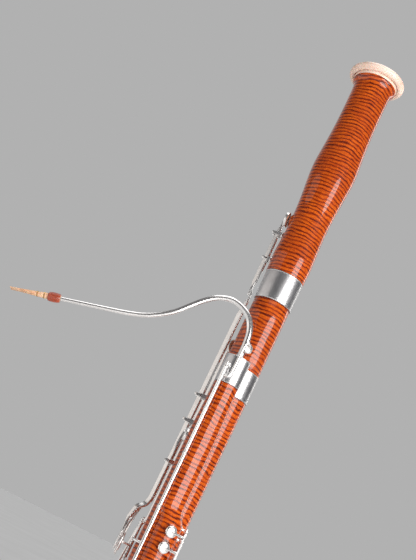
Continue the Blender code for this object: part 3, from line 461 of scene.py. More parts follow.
class Shape:
    """Closed skins gathered in one mesh; slot is a skin's place in the piece's materials."""

    def __init__(self):
        self.mesh = bmesh.new()

    def skin(self, rings, closed=False, slot=0):
        """Faces between rings of points; a ring of one point is a pole."""
        rows = [[self.mesh.verts.new(point) for point in ring] for ring in rings]
        pairs = list(zip(rows, rows[1:])) + ([(rows[-1], rows[0])] if closed else [])
        made = []
        for low, high in pairs:
            for index in range(max(len(low), len(high))):
                after = index + 1
                corners = [low[index % len(low)], low[after % len(low)], high[after % len(high)],
                           high[index % len(high)]]
                made.append(self.mesh.faces.new(list(dict.fromkeys(corners))))
        if not closed:
            made += [self.mesh.faces.new(row) for row in (rows[0], rows[-1]) if len(row) > 2]
        for face in made:
            face.material_index = slot
            face.smooth = True
        return self

    def turned(self, profile, place, steps=40, closed=False, slot=0):
        """A profile of (radius, height along the frame's Z) turned round."""
        rings = []
        for radius, along in profile:
            turns = full_turn(steps) if radius > 1e-6 else [0.0]
            rings.append([place @ Vector((radius * math.cos(turn), radius * math.sin(turn), along))
                          for turn in turns])
        return self.skin(rings, closed, slot)

    def swept(self, points, radii, sides=16, slot=0):
        """A round rod along points, with domed ends."""
        points = [Vector(point) for point in points]
        if isinstance(radii, float):
            radii = [radii] * len(points)
        first, last = (points[1] - points[0]).normalized(), (points[-1] - points[-2]).normalized()
        steps = [math.radians(turn) for turn in (80, 55, 28)]
        stations = [(points[0] - first * radii[0] * math.sin(turn) * 0.7, radii[0] * math.cos(turn), first)
                    for turn in steps]
        for index, point in enumerate(points):
            ahead = points[min(index + 1, len(points) - 1)] - points[max(index - 1, 0)]
            stations.append((point, radii[index], ahead.normalized()))
        stations += [(points[-1] + last * radii[-1] * math.sin(turn) * 0.7, radii[-1] * math.cos(turn), last)
                     for turn in reversed(steps)]
        normal = first.orthogonal()
        rings = []
        for centre, radius, ahead in stations:
            normal = (normal - ahead * normal.dot(ahead)).normalized()
            other = ahead.cross(normal)
            rings.append([centre + normal * (radius * math.cos(turn)) + other * (radius * math.sin(turn))
                          for turn in full_turn(sides)])
        return self.skin(rings, slot=slot)

    def lever(self, axis_y, angle, line, twist=0.0, corner=0.003, slot=0, sides=20):
        """A lever in a plane through an upright axis: line is (reach, height, width, depth).

        Where it is deep, the bar leans by the twist, so that its flank faces a little outward.
        """
        path = softened(line, corner)
        out, side = outward(angle), outward(angle + 90.0)
        ends = []
        for tip, inner in ((path[0], path[1]), (path[-1], path[-2])):
            ahead = Vector((tip[0] - inner[0], tip[1] - inner[1])).normalized()
            back = Vector((*ahead, 0.0, 0.0)) * (tip[2] / 2)
            ends.append([(tip - back * (1 - math.sin(turn)), math.cos(turn))
                         for turn in (math.radians(turn) for turn in (84, 66, 48, 30, 14))])
        stations = ends[0] + [(point, 1.0) for point in path[1:-1]] + ends[1][::-1]
        rings = []
        for index, (point, share) in enumerate(stations):
            before = stations[max(index - 1, 0)][0]
            after = stations[min(index + 1, len(stations) - 1)][0]
            ahead = Vector((after[0] - before[0], after[1] - before[1])).normalized()
            normal = out * ahead.y - UP * ahead.x
            centre = Vector((0.0, axis_y, 0.0)) + out * point[0] + UP * point[1]
            lean = math.radians(twist) * min(max((point[3] - 0.0030) / 0.0018, 0.0), 1.0)
            lean = math.copysign(lean, ahead.y)
            flat = side * math.cos(lean) + normal * math.sin(lean)
            edge = normal * math.cos(lean) - side * math.sin(lean)
            ring = []
            for step in range(sides):
                turn = math.tau * (step + 0.5) / sides
                wide = signed_power(math.cos(turn), LEVER_SQUARENESS) * point[2] / 2 * share
                deep = signed_power(math.sin(turn), LEVER_SQUARENESS) * point[3] / 2 * (0.45 + 0.55 * share)
                ring.append(centre + flat * wide + edge * deep)
            rings.append(ring)
        return self.skin(rings, slot=slot)

    def slab(self, outline, thickness, place, bevel=0.00025, slot=0):
        """A flat outline in the frame's XY plane with bevelled edges, centred on it."""
        outline = [Vector((*point[:2], 0.0)) for point in outline]
        centre = sum(outline, Vector()) / len(outline)
        half = thickness / 2
        upper = [(half - bevel, 0.0), (half - 0.4 * bevel, 0.4 * bevel), (half, bevel)]
        lower = [(-level, inset) for level, inset in upper[::-1]]
        rings = [[place @ (point + (centre - point).normalized() * inset + UP * level) for point in outline]
                 for level, inset in lower + upper]
        return self.skin(rings, slot=slot)


def piece(name, shape, materials, body="root", nodes=(), sharp=40.0):
    """Finish a shape as a named piece that rides on a body and stands for CAD nodes."""
    bmesh.ops.recalc_face_normals(shape.mesh, faces=shape.mesh.faces)
    mesh = bpy.data.meshes.new(name)
    shape.mesh.to_mesh(mesh)
    shape.mesh.free()
    for material in materials:
        mesh.materials.append(material)
    mesh.set_sharp_from_angle(angle=math.radians(sharp))
    made = bpy.data.objects.new(name, mesh)
    bpy.context.scene.collection.objects.link(made)
    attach(made, body)
    if nodes:
        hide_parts(*nodes)
    return made


def drilled(made, *holes):
    """Cut round holes in a piece: each is (start, end, radius, end radius)."""
    cutter = Shape()
    for start, end, radius, end_radius in holes:
        start, end = Vector(start), Vector(end)
        deep = (end - start).length
        cutter.turned([(0.0, 0.0), (radius, 0.0), (end_radius, deep), (0.0, deep)],
                      facing(start, end - start, Vector((0.3, 0.2, 1.0))), 32)
    bmesh.ops.recalc_face_normals(cutter.mesh, faces=cutter.mesh.faces)
    mesh = bpy.data.meshes.new("drill")
    cutter.mesh.to_mesh(mesh)
    cutter.mesh.free()
    drill = bpy.data.objects.new("drill", mesh)
    bpy.context.scene.collection.objects.link(drill)
    step = made.modifiers.new("drilled", "BOOLEAN")
    step.operation = "DIFFERENCE"
    step.object = drill
    bpy.context.view_layer.update()
    evaluated = made.evaluated_get(bpy.context.evaluated_depsgraph_get())
    result = bpy.data.meshes.new_from_object(evaluated)
    made.modifiers.clear()
    made.data = result
    result.set_sharp_from_angle(angle=math.radians(40.0))
    bpy.data.objects.remove(drill, do_unlink=True)
    return made


# ---- wooden bodies, bands and the bell -----------------------------------------------------------
LOW_B = (155.0, 0.9300)     # tone holes of the long joint: angle and height
LOW_C = (203.0, 0.8040)
LOW_D = (132.0, 0.7000)
WING_R = 0.0148
WING_BAND = 0.0152
WING_FERRULE_LOW = 0.8720
WING_FLAT_TURN = -58.0      # the wing is a little flattened where the crook key's arm runs
WING_FLAT = 0.0005
WING_FLAT_SHARE = 0.7
WING_LOBE_TURN = -22.0
WING_LOBE = 0.0085
WING_LOBE_TOP = 0.7230
WING_LOBE_LOW = 0.5000


def long_radius(height):
    """The long joint widens upwards in a straight cone."""
    low, top = span("boot_body")[1], span("bell_ferrule")[0]
    return 0.0180 + 0.0056 * (height - low) / (top - low)


def arc(centre, radius, first, last, steps=6, squeeze=1.0):
    """Points of a profile on a round edge, by angle from outward towards up."""
    turns = (math.radians(first + (last - first) * index / steps) for index in range(steps + 1))
    return [(centre[0] + radius * squeeze * math.cos(turn), centre[1] + radius * math.sin(turn))
            for turn in turns]


def band_profile(outer_low, outer_top, inner, low, top, bead=0.0006):
    """A metal band: a bead at each edge with a fine groove beside it."""
    outer = [(outer_low, low + bead * 2.4), (outer_top, top - bead * 2.4)]
    lower = [(inner, low), (outer_low - 0.0002, low), (outer_low + 0.00035, low + bead * 0.7),
             (outer_low + 0.0002, low + bead * 1.7), (outer_low - 0.0002, low + bead * 2.0)]
    upper = [(outer_top - 0.0002, top - bead * 2.0), (outer_top + 0.0002, top - bead * 1.7),
             (outer_top + 0.00035, top - bead * 0.7), (outer_top - 0.0002, top), (inner, top)]
    return softened(lower + outer + upper, 0.0003, 3, closed=True)


# the bell's outline, as (height, radius)
BELL_CURVE = ((1.0343, 0.0252), (1.0560, 0.0260), (1.0640, 0.0259), (1.1000, 0.0245), (1.1270, 0.0249),
              (1.1480, 0.0262), (1.1780, 0.0287), (1.1920, 0.0293), (1.2060, 0.0290), (1.2470, 0.0264),
              (1.2800, 0.0255), (1.3150, 0.0256), (1.3285, 0.0265), (1.3335, 0.0294), (1.3362, 0.0300))
BELL_HOLE = 1.1100


def make_bell(wood, silver, resin):
    low, top = span("bell_body")
    outside = [(point.y, point.x) for point in smooth_route([(*point, 0.0) for point in BELL_CURVE], 6)]
    bore = [(0.0222, top), (0.0205, 1.2900), (0.0228, 1.1950), (0.0192, 1.1000), (0.0170, low + 0.0300),
            (0.0193, low + 0.0300), (0.0193, low), (0.0236, low), (0.0236, BELL_CURVE[0][0])]
    body = Shape().turned(outside + bore, upright(LONG_Y), 128, closed=True)
    bell = piece("bell_wood", body, [wood], nodes=["bell_body"])
    drilled(bell, (around(LONG_Y, 180, 0.006, BELL_HOLE), around(LONG_Y, 180, 0.030, BELL_HOLE), 0.0070, 0.0080))

    low, top = span("bell_ferrule")
    profile = band_profile(0.0244, 0.0246, 0.0239, low, top)
    piece("bell_band", Shape().turned(profile, upright(LONG_Y), 128, closed=True), [silver],
          nodes=["bell_ferrule"])

    low, top = span("bell_ring")
    rim_low = low + 0.0030
    half, centre = (top - rim_low) / 2, (top + rim_low) / 2
    reach = half_width("bell_ring")
    edge = arc((reach - half * 1.15, centre), half, -90, 90, 18, 1.15)
    mouth = [(reach - half * 1.15 - 0.0016, top), (0.0262, top - 0.0003), (0.0240, top - 0.0012),
             (0.0228, top - 0.0030), (0.0222, centre), (0.0222, low)]
    recess = [(0.0303, low), (0.0306, low + 0.0062), (reach - half * 1.15 - 0.0010, low + 0.0062),
              (reach - half * 1.15 - 0.0007, rim_low + 0.0005)]
    profile = softened(edge + mouth + recess, 0.0008, 3, closed=True)
    piece("bell_rim", Shape().turned(profile, upright(LONG_Y), 144, closed=True), [resin],
          nodes=["bell_ring"])


def make_long_joint(wood, silver):
    low = span("boot_body")[1] + 0.0008
    band_low, band_top = span("long_ferrule")
    profile = [(0.0, low), (long_radius(low) - 0.0004, low), (long_radius(low), low + 0.0005)]
    profile += [(long_radius(low + (band_low - low) * share), low + (band_low - low) * share)
                for share in (0.2, 0.4, 0.6, 0.8)]
    profile += [(long_radius(band_low), band_low - 0.0003), (0.0, band_low - 0.0003)]
    lower = piece("long_joint_lower_wood", Shape().turned(profile, upright(LONG_Y), 112), [wood],
                  nodes=["long_lower_body"])
    drilled(lower, *[(around(LONG_Y, angle, 0.010, height), around(LONG_Y, angle, 0.026, height),
                      0.0055, 0.0062) for angle, height in (LOW_C, LOW_D)])
    low, top = band_top + 0.0003, span("bell_ferrule")[0] - 0.0003
    profile = [(0.0, low), (long_radius(low) - 0.0003, low), (long_radius(low), low + 0.0004)]
    profile += [(long_radius(low + (top - low) * share), low + (top - low) * share)
                for share in (0.25, 0.5, 0.75)]
    profile += [(long_radius(top), top - 0.0004), (long_radius(top) - 0.0003, top), (0.0, top)]
    upper = piece("long_joint_upper_wood", Shape().turned(profile, upright(LONG_Y), 112), [wood],
                  nodes=["long_upper_body"])
    drilled(upper, (around(LONG_Y, LOW_B[0], 0.012, LOW_B[1]), around(LONG_Y, LOW_B[0], 0.030, LOW_B[1]),
                    0.0055, 0.0062))
    ring = long_radius(band_top)
    profile = band_profile(ring + 0.0004, ring + 0.0007, ring - 0.0006, band_low, band_top)
    piece("long_joint_band", Shape().turned(profile, upright(LONG_Y), 128, closed=True), [silver],
          nodes=["long_ferrule"])


def rise(value, start, end):
    """Smooth step from 0 at start to 1 at end."""
    share = min(max((value - start) / (end - start), 0.0), 1.0)
    return share * share * (3.0 - 2.0 * share)


def wing_radius(angle, height):
    """Round body, flattened at one side, with the epaulette that carries the finger holes on another."""
    body = WING_R + 0.0018 * rise(height, 0.872, 0.800) + 0.0002 * rise(height, 0.745, 0.640)
    off = abs(math.radians((angle - WING_FLAT_TURN + 180.0) % 360.0 - 180.0))
    flat = (body - WING_FLAT) / max(math.cos(off), 0.5)
    body -= WING_FLAT_SHARE * max(body - flat, 0.0)
    lobe = rise(height, WING_LOBE_TOP, WING_LOBE_TOP - 0.022) * rise(height, WING_LOBE_LOW, 0.545)
    away = math.radians((angle - WING_LOBE_TURN + 180.0) % 360.0 - 180.0)
    return body + WING_LOBE * lobe * math.cos(min(abs(away) * 1.25, math.pi / 2)) ** 0.75


def wing_surface(angle, height):
    return WING_BAND if height > WING_FERRULE_LOW else wing_radius(angle, height)


def make_wing(wood, silver):
    low, top = span("boot_body")[1] + 0.0008, WING_FERRULE_LOW - 0.0003
    rings, sides = [[Vector((0.0, WING_Y, low))]], 120
    heights = [low, low + 0.0005] + [low + 0.004 + (top - low - 0.004) * index / 110 for index in range(111)]
    for height in heights:
        inset = 0.0004 if height == low else 0.0
        rings.append([around(WING_Y, 360.0 * index / sides, wing_radius(360.0 * index / sides, height) - inset,
                             height) for index in range(sides)])
    rings.append([Vector((0.0, WING_Y, top))])
    wing = piece("wing_joint_wood", Shape().skin(rings), [wood], nodes=["wing_body"], sharp=50.0)
    drilled(wing, *[(around(WING_Y, WING_LOBE_TURN, 0.004, height - 0.003),
                     around(WING_Y, WING_LOBE_TURN, 0.036, height + 0.012), 0.0030, 0.0034)
                    for height in (0.6600, 0.6230, 0.5850)])
    low, top = span("wing_ferrule")
    profile = band_profile(WING_BAND, WING_BAND, WING_R - 0.0006, low, top - 0.0002)
    shape = Shape().turned(profile, upright(WING_Y), 112, closed=True)
    crown = [(0.0060, top - 0.0012), (0.0139, top - 0.0012), (0.0139, top - 0.0004), (0.0132, top),
             (0.0060, top)]
    shape.turned(softened(crown, 0.0004, 3, closed=True), upright(WING_Y), 96, closed=True)
    socket = [(0.0056, 0.0), (0.0072, 0.0), (0.0072, 0.0008), (0.0064, 0.0014), (0.0056, 0.0014)]
    shape.turned(softened(socket, 0.0003, 3, closed=True), upright(WING_Y, top - 0.0001), 64, closed=True)
    piece("wing_joint_band", shape, [silver], nodes=["wing_ferrule"])


def stadium(radius, height, sides=40):
    """The boot's outline round both bores, at a height."""
    ring = []
    for centre_y, first in ((LONG_Y, 0.0), (WING_Y, 180.0)):
        ring += [around(centre_y, first + 180.0 * index / sides, radius, height) for index in range(sides + 1)]
    return ring


def boot_rings(profile):
    return [stadium(radius, height) for radius, height in profile]


def make_boot(wood, silver):
    low, top = span("boot_body")
    upper_low, upper_top = span("boot_top_ferrule")
    lower_low, lower_top = span("boot_lower_ferrule")
    profile = [(0.0205, low), (0.0205, lower_top), (BOOT_R - 0.0003, lower_top + 0.0001),
               (BOOT_R, lower_top + 0.0005), (BOOT_R, upper_low - 0.0005), (BOOT_R - 0.0003, upper_low - 0.0001),
               (0.0205, upper_low), (0.0205, top)]
    boot = piece("boot_wood", Shape().skin(boot_rings(profile)), [wood], nodes=["boot_body"])
    drilled(boot, *[((0.006, WING_Y + 0.001, height + 0.001), (0.030, WING_Y + 0.004, height + 0.004),
                     0.0034, 0.0037) for height in (0.3850, 0.3480, 0.2950)])
    for name, node, low, top in (("boot_top_band", "boot_top_ferrule", upper_low, upper_top),
                                 ("boot_lower_band", "boot_lower_ferrule", lower_low, lower_top)):
        profile = band_profile(BOOT_R + 0.0004, BOOT_R + 0.0004, BOOT_R - 0.0006, low, top)
        piece(name, Shape().skin(boot_rings(profile), closed=True), [silver], nodes=[node])
    low, top = span("boot_bottom_cap")
    reach = half_width("boot_bottom_cap")
    cap = softened([(0.010, low), (reach - 0.0002, low), (reach, low + 0.0020), (reach, top - 0.0016),
                    (reach - 0.0012, top - 0.0004), (reach - 0.0012, top), (0.010, top)], 0.0012, 4)
    piece("boot_cap", Shape().skin(boot_rings(cap)), [silver],
          nodes=["boot_bottom_cap"])


# ---- crook and reed ------------------------------------------------------------------------------
CROOK_TURN = 195.0
CROOK_ROUTE = ((0, 887), (0, 905), (0, 925), (2.5, 943), (10, 957), (23, 965.5), (38, 968), (54, 962.8),
               (67, 952.5), (78.5, 940), (91, 926), (105, 914.8), (122, 905), (142, 898), (170, 890.6),
               (198, 883.6), (226, 876.6))      # (distance from the wing axis, height) in mm
CROOK_R_BUTT = 0.0042
CROOK_R_TIP = 0.0024
REED_BUTT = Vector((0.2195, 0.87823))
REED_TIP = Vector((0.2775, 0.86373))
NIB_TURN = -48.0
NIB_HEIGHT = 0.9206


def crook_point(distance, height):
    return around(WING_Y, CROOK_TURN, distance, height)


def make_crook(silver):
    route = smooth_route([crook_point(distance * MM, height * MM) for distance, height in CROOK_ROUTE], 8)
    length = [0.0]
    for before, after in zip(route, route[1:]):
        length.append(length[-1] + (after - before).length)
    radii = [CROOK_R_BUTT + (CROOK_R_TIP - CROOK_R_BUTT) * travelled / length[-1] for travelled in length]
    shape = Shape().swept(route, radii, 40)
    collar = [(0.0, 0.0), (0.0056, 0.0), (0.0060, 0.0006), (0.0056, 0.0013), (0.0050, 0.0018), (0.0045, 0.0030),
              (0.0, 0.0032)]
    shape.turned(collar, upright(WING_Y, span("wing_ferrule")[1] + 0.0015), 48)
    nib = [(0.0, 0.0030), (0.0034, 0.0030), (0.0032, 0.0044), (0.0021, 0.0050), (0.0019, 0.0064),
           (0.0013, 0.0069), (0.0005, 0.0068), (0.0005, 0.0050), (0.0, 0.0050)]
    shape.turned(nib, facing((0.0, WING_Y, NIB_HEIGHT), outward(NIB_TURN)), 32)
    piece("crook", shape, [silver], "bocal", ["bocal_tube"])


def make_reed(cane, thread, brass):
    butt, tip = REED_BUTT, REED_TIP
    along = (tip - butt).normalized()
    lift = Vector((-along.y, along.x))
    side = outward(CROOK_TURN + 90.0)
    sections = ((0.0, 0.0037, 0.0037), (0.14, 0.0038, 0.0038), (0.30, 0.0038, 0.0036), (0.46, 0.0042, 0.0030),
                (0.60, 0.0054, 0.0024), (0.76, 0.0064, 0.0016), (0.90, 0.0071, 0.0009), (1.0, 0.0075, 0.0006))
    fine = smooth_route(sections, 5)

    def ring(share, wide, deep):
        centre = butt + (tip - butt) * share
        return [crook_point(*(centre + lift * (deep * math.sin(turn)))) + side * (wide * math.cos(turn))
                for turn in full_turn(48)]

    rings = [ring(*station) for station in fine]
    rings += [ring(share, max(wide - 0.0006, 0.0031), max(deep - 0.0006, 0.00025))
              for share, wide, deep in fine[::-1]]
    piece("reed_blades", Shape().skin(rings, closed=True), [cane], "reed", ["reed_cane"])

    direction = (crook_point(*tip) - crook_point(*butt)).normalized()
    place = facing(crook_point(*butt), direction)
    core = [(0.0041, 0.0004), (0.0048, 0.0004), (0.0053, 0.0020), (0.0055, 0.0060), (0.0053, 0.0110),
            (0.0046, 0.0145), (0.0041, 0.0150)]
    shape = Shape().turned(core, place, 40, closed=True)
    coil, turns, points = [], 15, 22
    for index in range(turns * points + 1):
        share = index / (turns * points)
        bulge = 0.0047 + 0.0008 * math.sin(math.pi * share) ** 0.6
        turn = math.tau * index / points
        coil.append(place @ Vector((bulge * math.cos(turn), bulge * math.sin(turn), 0.0010 + 0.0134 * share)))
    shape.swept(coil, 0.00048, 8)
    piece("reed_turban_thread", shape, [thread], "reed", ["reed_turban"])

    wires = Shape()
    for share, wide, deep in ((0.325, 0.0040, 0.0037), (0.46, 0.0044, 0.0032)):
        centre = butt + (tip - butt) * share
        for shift in (-0.0004, 0.0004):
            loop = []
            for index in range(41):
                turn = math.tau * index / 40
                flat = centre + along * shift + lift * (deep * math.sin(turn))
                loop.append(crook_point(*flat) + side * (wide * math.cos(turn)))
            wires.swept(loop, 0.00032, 8)
    piece("reed_wires", wires, [brass], "reed")


# ---- keywork parts -------------------------------------------------------------------------------
def post(shape, foot, head, radius=0.0024, slot=0):
    """A ball-headed post screwed into the wood, on a small round flange."""
    foot, head = Vector(foot), Vector(head)
    tall = (head - foot).length
    profile = [(0.0, -0.0006), (0.0031, -0.0006), (0.0031, 0.0001), (0.0029, 0.0004), (0.0019, 0.0007),
               (0.0014, 0.0014), (0.0013, max(tall - radius - 0.0004, 0.0016))]
    profile += arc((0.0, tall), radius, -52, 86, 12) + [(0.0, tall + radius)]
    shape.turned(profile, facing(foot, head - foot, Vector((0.1, 0.2, 1.0))), 28, slot=slot)


def rod(shape, lower, upper, slot=1):
    """The steel pivot rod, with a slotted head at its top end."""
    shape.swept([lower, upper], PIN_R, 16, slot=slot)
    turn = (Vector(upper) - Vector(lower)).normalized()
    place = facing(upper, turn, Vector((1.0, 0.3, 0.0)))
    for half in (-1, 1):
        curve = [(half * (0.00018 + 0.00105 * math.cos(turn)), 0.0012 * math.sin(turn))
                 for turn in (math.radians(step) for step in range(-75, 76, 15))]
        outline = [(half * 0.00018, -0.0012), *curve, (half * 0.00018, 0.0012)]
        shape.slab(outline, 0.0010, place @ Matrix.Translation((0.0, 0.0, 0.0007)), 0.00012, slot)


def hinge_tube(shape, lower, upper, slot=0):
    """The key's hollow tube, with a fine collar at each end."""
    tall = (Vector(upper) - Vector(lower)).length
    inner = PIN_R + 0.00025
    outer = [(BARREL_R, 0.0), (BARREL_R + 0.0003, 0.0003), (BARREL_R + 0.0003, 0.0012), (BARREL_R, 0.0016),
             (BARREL_R, tall - 0.0016), (BARREL_R + 0.0003, tall - 0.0012), (BARREL_R + 0.0003, tall - 0.0003),
             (BARREL_R, tall)]
    profile = [(inner, 0.0)] + outer + [(inner, tall)]
    shape.turned(profile, facing(lower, Vector(upper) - Vector(lower), Vector((1.0, 0.3, 0.0))), 28, closed=True,
                 slot=slot)


def pad_cup(shape, centre, out, radius, height=0.0040, slot=0, skirt=0.0):
    """A domed cup: centre is on its rim's plane, out points away from the wood, the skirt hangs below."""
    profile = [(0.0, 0.0008), (radius - 0.0005, 0.0008), (radius - 0.0005, -skirt), (radius, 0.0002 - skirt),
               (radius, 0.0014), (radius - 0.0003, 0.0019)]
    profile += [(radius * 0.94 * math.cos(turn), 0.0019 + (height - 0.0022) * math.sin(turn))
                for turn in (math.radians(8 + 9 * step) for step in range(9))]
    profile += [(radius * 0.14, height - 0.0002), (radius * 0.13, height + 0.0002), (0.0, height + 0.0003)]
    shape.turned(profile, facing(centre, out), 44, slot=slot)


def make_pad(name, centre, out, radius, thickness, skin, body):
    """A skin-covered pad, held in its cup, with the tone hole's ring pressed in its face."""
    face = -thickness
    profile = [(0.0, 0.0007), (radius, 0.0007), (radius + 0.0001, face * 0.4), (radius - 0.0002, face + 0.0004),
               (radius - 0.0007, face), (radius * 0.80, face), (radius * 0.74, face + 0.0002),
               (radius * 0.68, face), (radius * 0.2, face - 0.00005), (0.0, face - 0.00005)]
    made = Shape().turned(profile, facing(centre, out), 40)
    piece(name, made, [skin], body)


def paddle(shape, centre, out, half_across, half_along, thickness=0.0020, slot=0):
    """An oval touchpiece, softly crowned, lying across out and running up the instrument."""
    crown = [(share * 1.0, thickness * (0.96 - 0.20 * share ** 2)) for share in (0.80, 0.60, 0.40, 0.20)]
    profile = [(0.0, 0.0), (0.86, 0.0), (0.95, thickness * 0.12), (1.0, thickness * 0.40),
               (0.985, thickness * 0.62), (0.93, thickness * 0.76)] + crown + [(0.0, thickness * 0.96)]
    stretch = Matrix.Diagonal((half_across, half_along, 1.0, 1.0))
    shape.turned(profile, facing(centre, out) @ stretch, 44, slot=slot)


SADDLE_SPREAD = 0.0036      # half the gap between a saddle's ears


def lever_saddle(name, angle, height, base, reach, tall, materials, pin=True, nodes=None):
    """Two round-topped ears on an oval foot; a saddle has a screw pin across them, a guide has none."""
    spread = SADDLE_SPREAD
    side, out = outward(angle + 90.0), outward(angle)
    shape = Shape()
    foot = facing(around(LONG_Y, angle, base - 0.0003, height), out)
    outline = [((spread + 0.0021) * signed_power(math.cos(turn), 0.7),
                0.0046 * signed_power(math.sin(turn), 0.8))
               for turn in full_turn(40)]
    shape.slab(outline, 0.0020, foot @ Matrix.Translation((0.0, 0.0, 0.0010)), 0.0004)
    for screw in (-1, 1):
        head = around(LONG_Y, angle, base + 0.0016, height + screw * 0.0033)
        shape.turned([(0.0, 0.0), (0.0010, 0.0), (0.0010, 0.0003), (0.0007, 0.0005), (0.0, 0.0006)],
                     facing(head, out), 20, slot=1)
    ear = [(base + 0.0008, -0.0027), (base + 0.0022, -0.0027), (tall - 0.0040, -0.0019)]
    ear += [(tall - 0.0021 + 0.0021 * math.cos(math.radians(turn)), 0.0021 * math.sin(math.radians(turn)))
            for turn in range(-75, 76, 15)]
    ear += [(tall - 0.0040, 0.0019), (base + 0.0022, 0.0027), (base + 0.0008, 0.0027)]
    for sign in (-1, 1):
        place = Matrix((out, UP, out.cross(UP))).transposed().to_4x4()
        middle = Matrix.Translation(around(LONG_Y, angle, 0.0, height) + side * sign * (spread + 0.0006))
        shape.slab(ear, 0.0014, middle @ place, 0.00025)
    if pin:
        centre = around(LONG_Y, angle, reach, height)
        shape.swept([centre - side * (spread + 0.0012), centre + side * (spread + 0.0012)], PIN_R, 16, slot=1)
        for sign in (-1, 1):
            shape.turned([(0.0, 0.0), (0.0015, 0.0), (0.0015, 0.0005), (0.0011, 0.0009), (0.0, 0.0010)],
                         facing(centre + side * sign * (spread + 0.0012), side * sign), 24, slot=1)
    return piece(name + "_mount", shape, materials, nodes=[name] if nodes is None else nodes)


def lever_barrel(shape, angle, reach, height):
    """The cross tube that turns on a saddle's pin."""
    centre, side = around(LONG_Y, angle, reach, height), outward(angle + 90.0)
    hinge_tube(shape, centre - side * 0.0031, centre + side * 0.0031)


# ---- keys ----------------------------------------------------------------------------------------
KEY_REACH = 0.0323
KEY_DEPTH = 0.0080
KEY_WIDTH = 0.0036
LEVER_PAD = 0.0034          # thickness of a closed lever's pad below its rim
LEVER_SKIRT = 0.0022        # how far its cup's wall hangs below the rim
BELL_PAD = 0.0016           # the same two for the bell key, which stands open
BELL_SKIRT = 0.0013
BELL_OPENING = 0.0028
PAD_GAP = 0.0002            # between a resting pad and its seat
B_FLAT_GUIDE = 0.8220
GUIDE_TALL = 0.0396         # reach of the tops of its ears, and of the bell key guide's
BELL_GUIDE_TALL = 0.0398

# each lever: angle, twist, pad (height, reach of its cup's rim, cup radius), and its line of
# (reach, height, width, depth) from the pad's end to the touch
LEVERS = {
    "bell_key": (180.0, 20.0, (1.1100, 0.0295, 0.0105), (
        (0.0326, 1.1080, 0.0044, 0.0024), (0.0328, 1.1020, KEY_WIDTH, 0.0028),
        (0.0328, 1.0880, KEY_WIDTH, 0.0060), (0.0328, 1.0500, KEY_WIDTH, 0.0070),
        (0.0330, 1.0180, KEY_WIDTH, 0.0062), (0.0332, 1.0075, KEY_WIDTH, 0.0036),
        (0.0334, 1.0040, 0.0042, 0.0020), (0.0336, 0.9960, 0.0046, 0.0019))),
    "b_flat_lever": (180.0, 24.0, None, (
        (0.0303, 1.0040, 0.0046, 0.0019), (0.0303, 0.9940, KEY_WIDTH, 0.0021),
        (0.0311, 0.9850, KEY_WIDTH, 0.0046), (KEY_REACH, 0.9680, KEY_WIDTH, KEY_DEPTH),
        (0.0328, 0.7200, KEY_WIDTH, 0.0070), (0.0415, 0.7050, 0.0042, 0.0048),
        (0.0438, 0.6850, 0.0075, 0.0032), (0.0440, 0.6660, 0.0120, 0.0021),
        (0.0440, 0.6475, 0.0110, 0.0020))),
    "low_b_key": (155.0, 10.0, (0.9300, 0.0288, 0.0092), (
        (0.0322, 0.9330, 0.0042, 0.0022), (0.0323, 0.9150, KEY_WIDTH, 0.0034),
        (KEY_REACH, 0.8950, KEY_WIDTH, 0.0052), (KEY_REACH, 0.7000, KEY_WIDTH, 0.0052),
        (0.0395, 0.6850, 0.0042, 0.0042), (0.0409, 0.6600, 0.0070, 0.0030),
        (0.0410, 0.6380, 0.0120, 0.0021), (0.0410, 0.6185, 0.0105, 0.0020))),
    "low_c_key": (203.0, 46.0, (0.8040, 0.0276, 0.0088), (
        (0.0313, 0.8080, 0.0048, 0.0022), (0.0318, 0.7920, 0.0038, 0.0038),
        (0.0325, 0.7760, KEY_WIDTH, 0.0060), (0.0328, 0.7210, KEY_WIDTH, 0.0064),
        (0.0350, 0.7125, KEY_WIDTH, 0.0064), (0.0425, 0.7070, KEY_WIDTH, 0.0064),
        (0.0455, 0.6950, 0.0050, 0.0050), (0.0470, 0.6720, 0.0098, 0.0022),
        (0.0470, 0.6525, 0.0088, 0.0020))),
    "low_d_key": (132.0, 15.0, (0.7000, 0.0255, 0.0088), (
        (0.0303, 0.7030, 0.0044, 0.0022), (0.0308, 0.6880, KEY_WIDTH, 0.0034),
        (0.0310, 0.6700, KEY_WIDTH, 0.0046), (0.0310, 0.6300, KEY_WIDTH, 0.0046),
        (0.0365, 0.6150, 0.0050, 0.0036), (0.0379, 0.6010, 0.0100, 0.0024),
        (0.0380, 0.5850, 0.0130, 0.0021), (0.0380, 0.5745, 0.0115, 0.0020))),
}
# each saddle: its angle, the key it carries, the reach of its ears' tops
SADDLES = (("bell_key_saddle", 180.0, "bell_key", 0.0376), ("b_flat_saddle", 180.0, "b_flat_lever", 0.0396),
           ("low_b_saddle", 155.0, "low_b_key", 0.0380), ("low_c_saddle", 203.0, "low_c_key", 0.0378),
           ("low_d_saddle", 132.0, "low_d_key", 0.0358))


BELL_REACH = 0.0254         # the bell's wood where its key's mounts stand


def wood_reach(height):
    """The wood's surface under a key of the long joint or bell."""
    return BELL_REACH if height > span("bell_ferrule")[1] else long_radius(height)


def pivot_place(key):
    """A lever's pivot as (distance from the long joint's axis, height)."""
    pivot = PIVOT[key]
    return math.hypot(pivot.x, pivot.y - LONG_Y), pivot.z


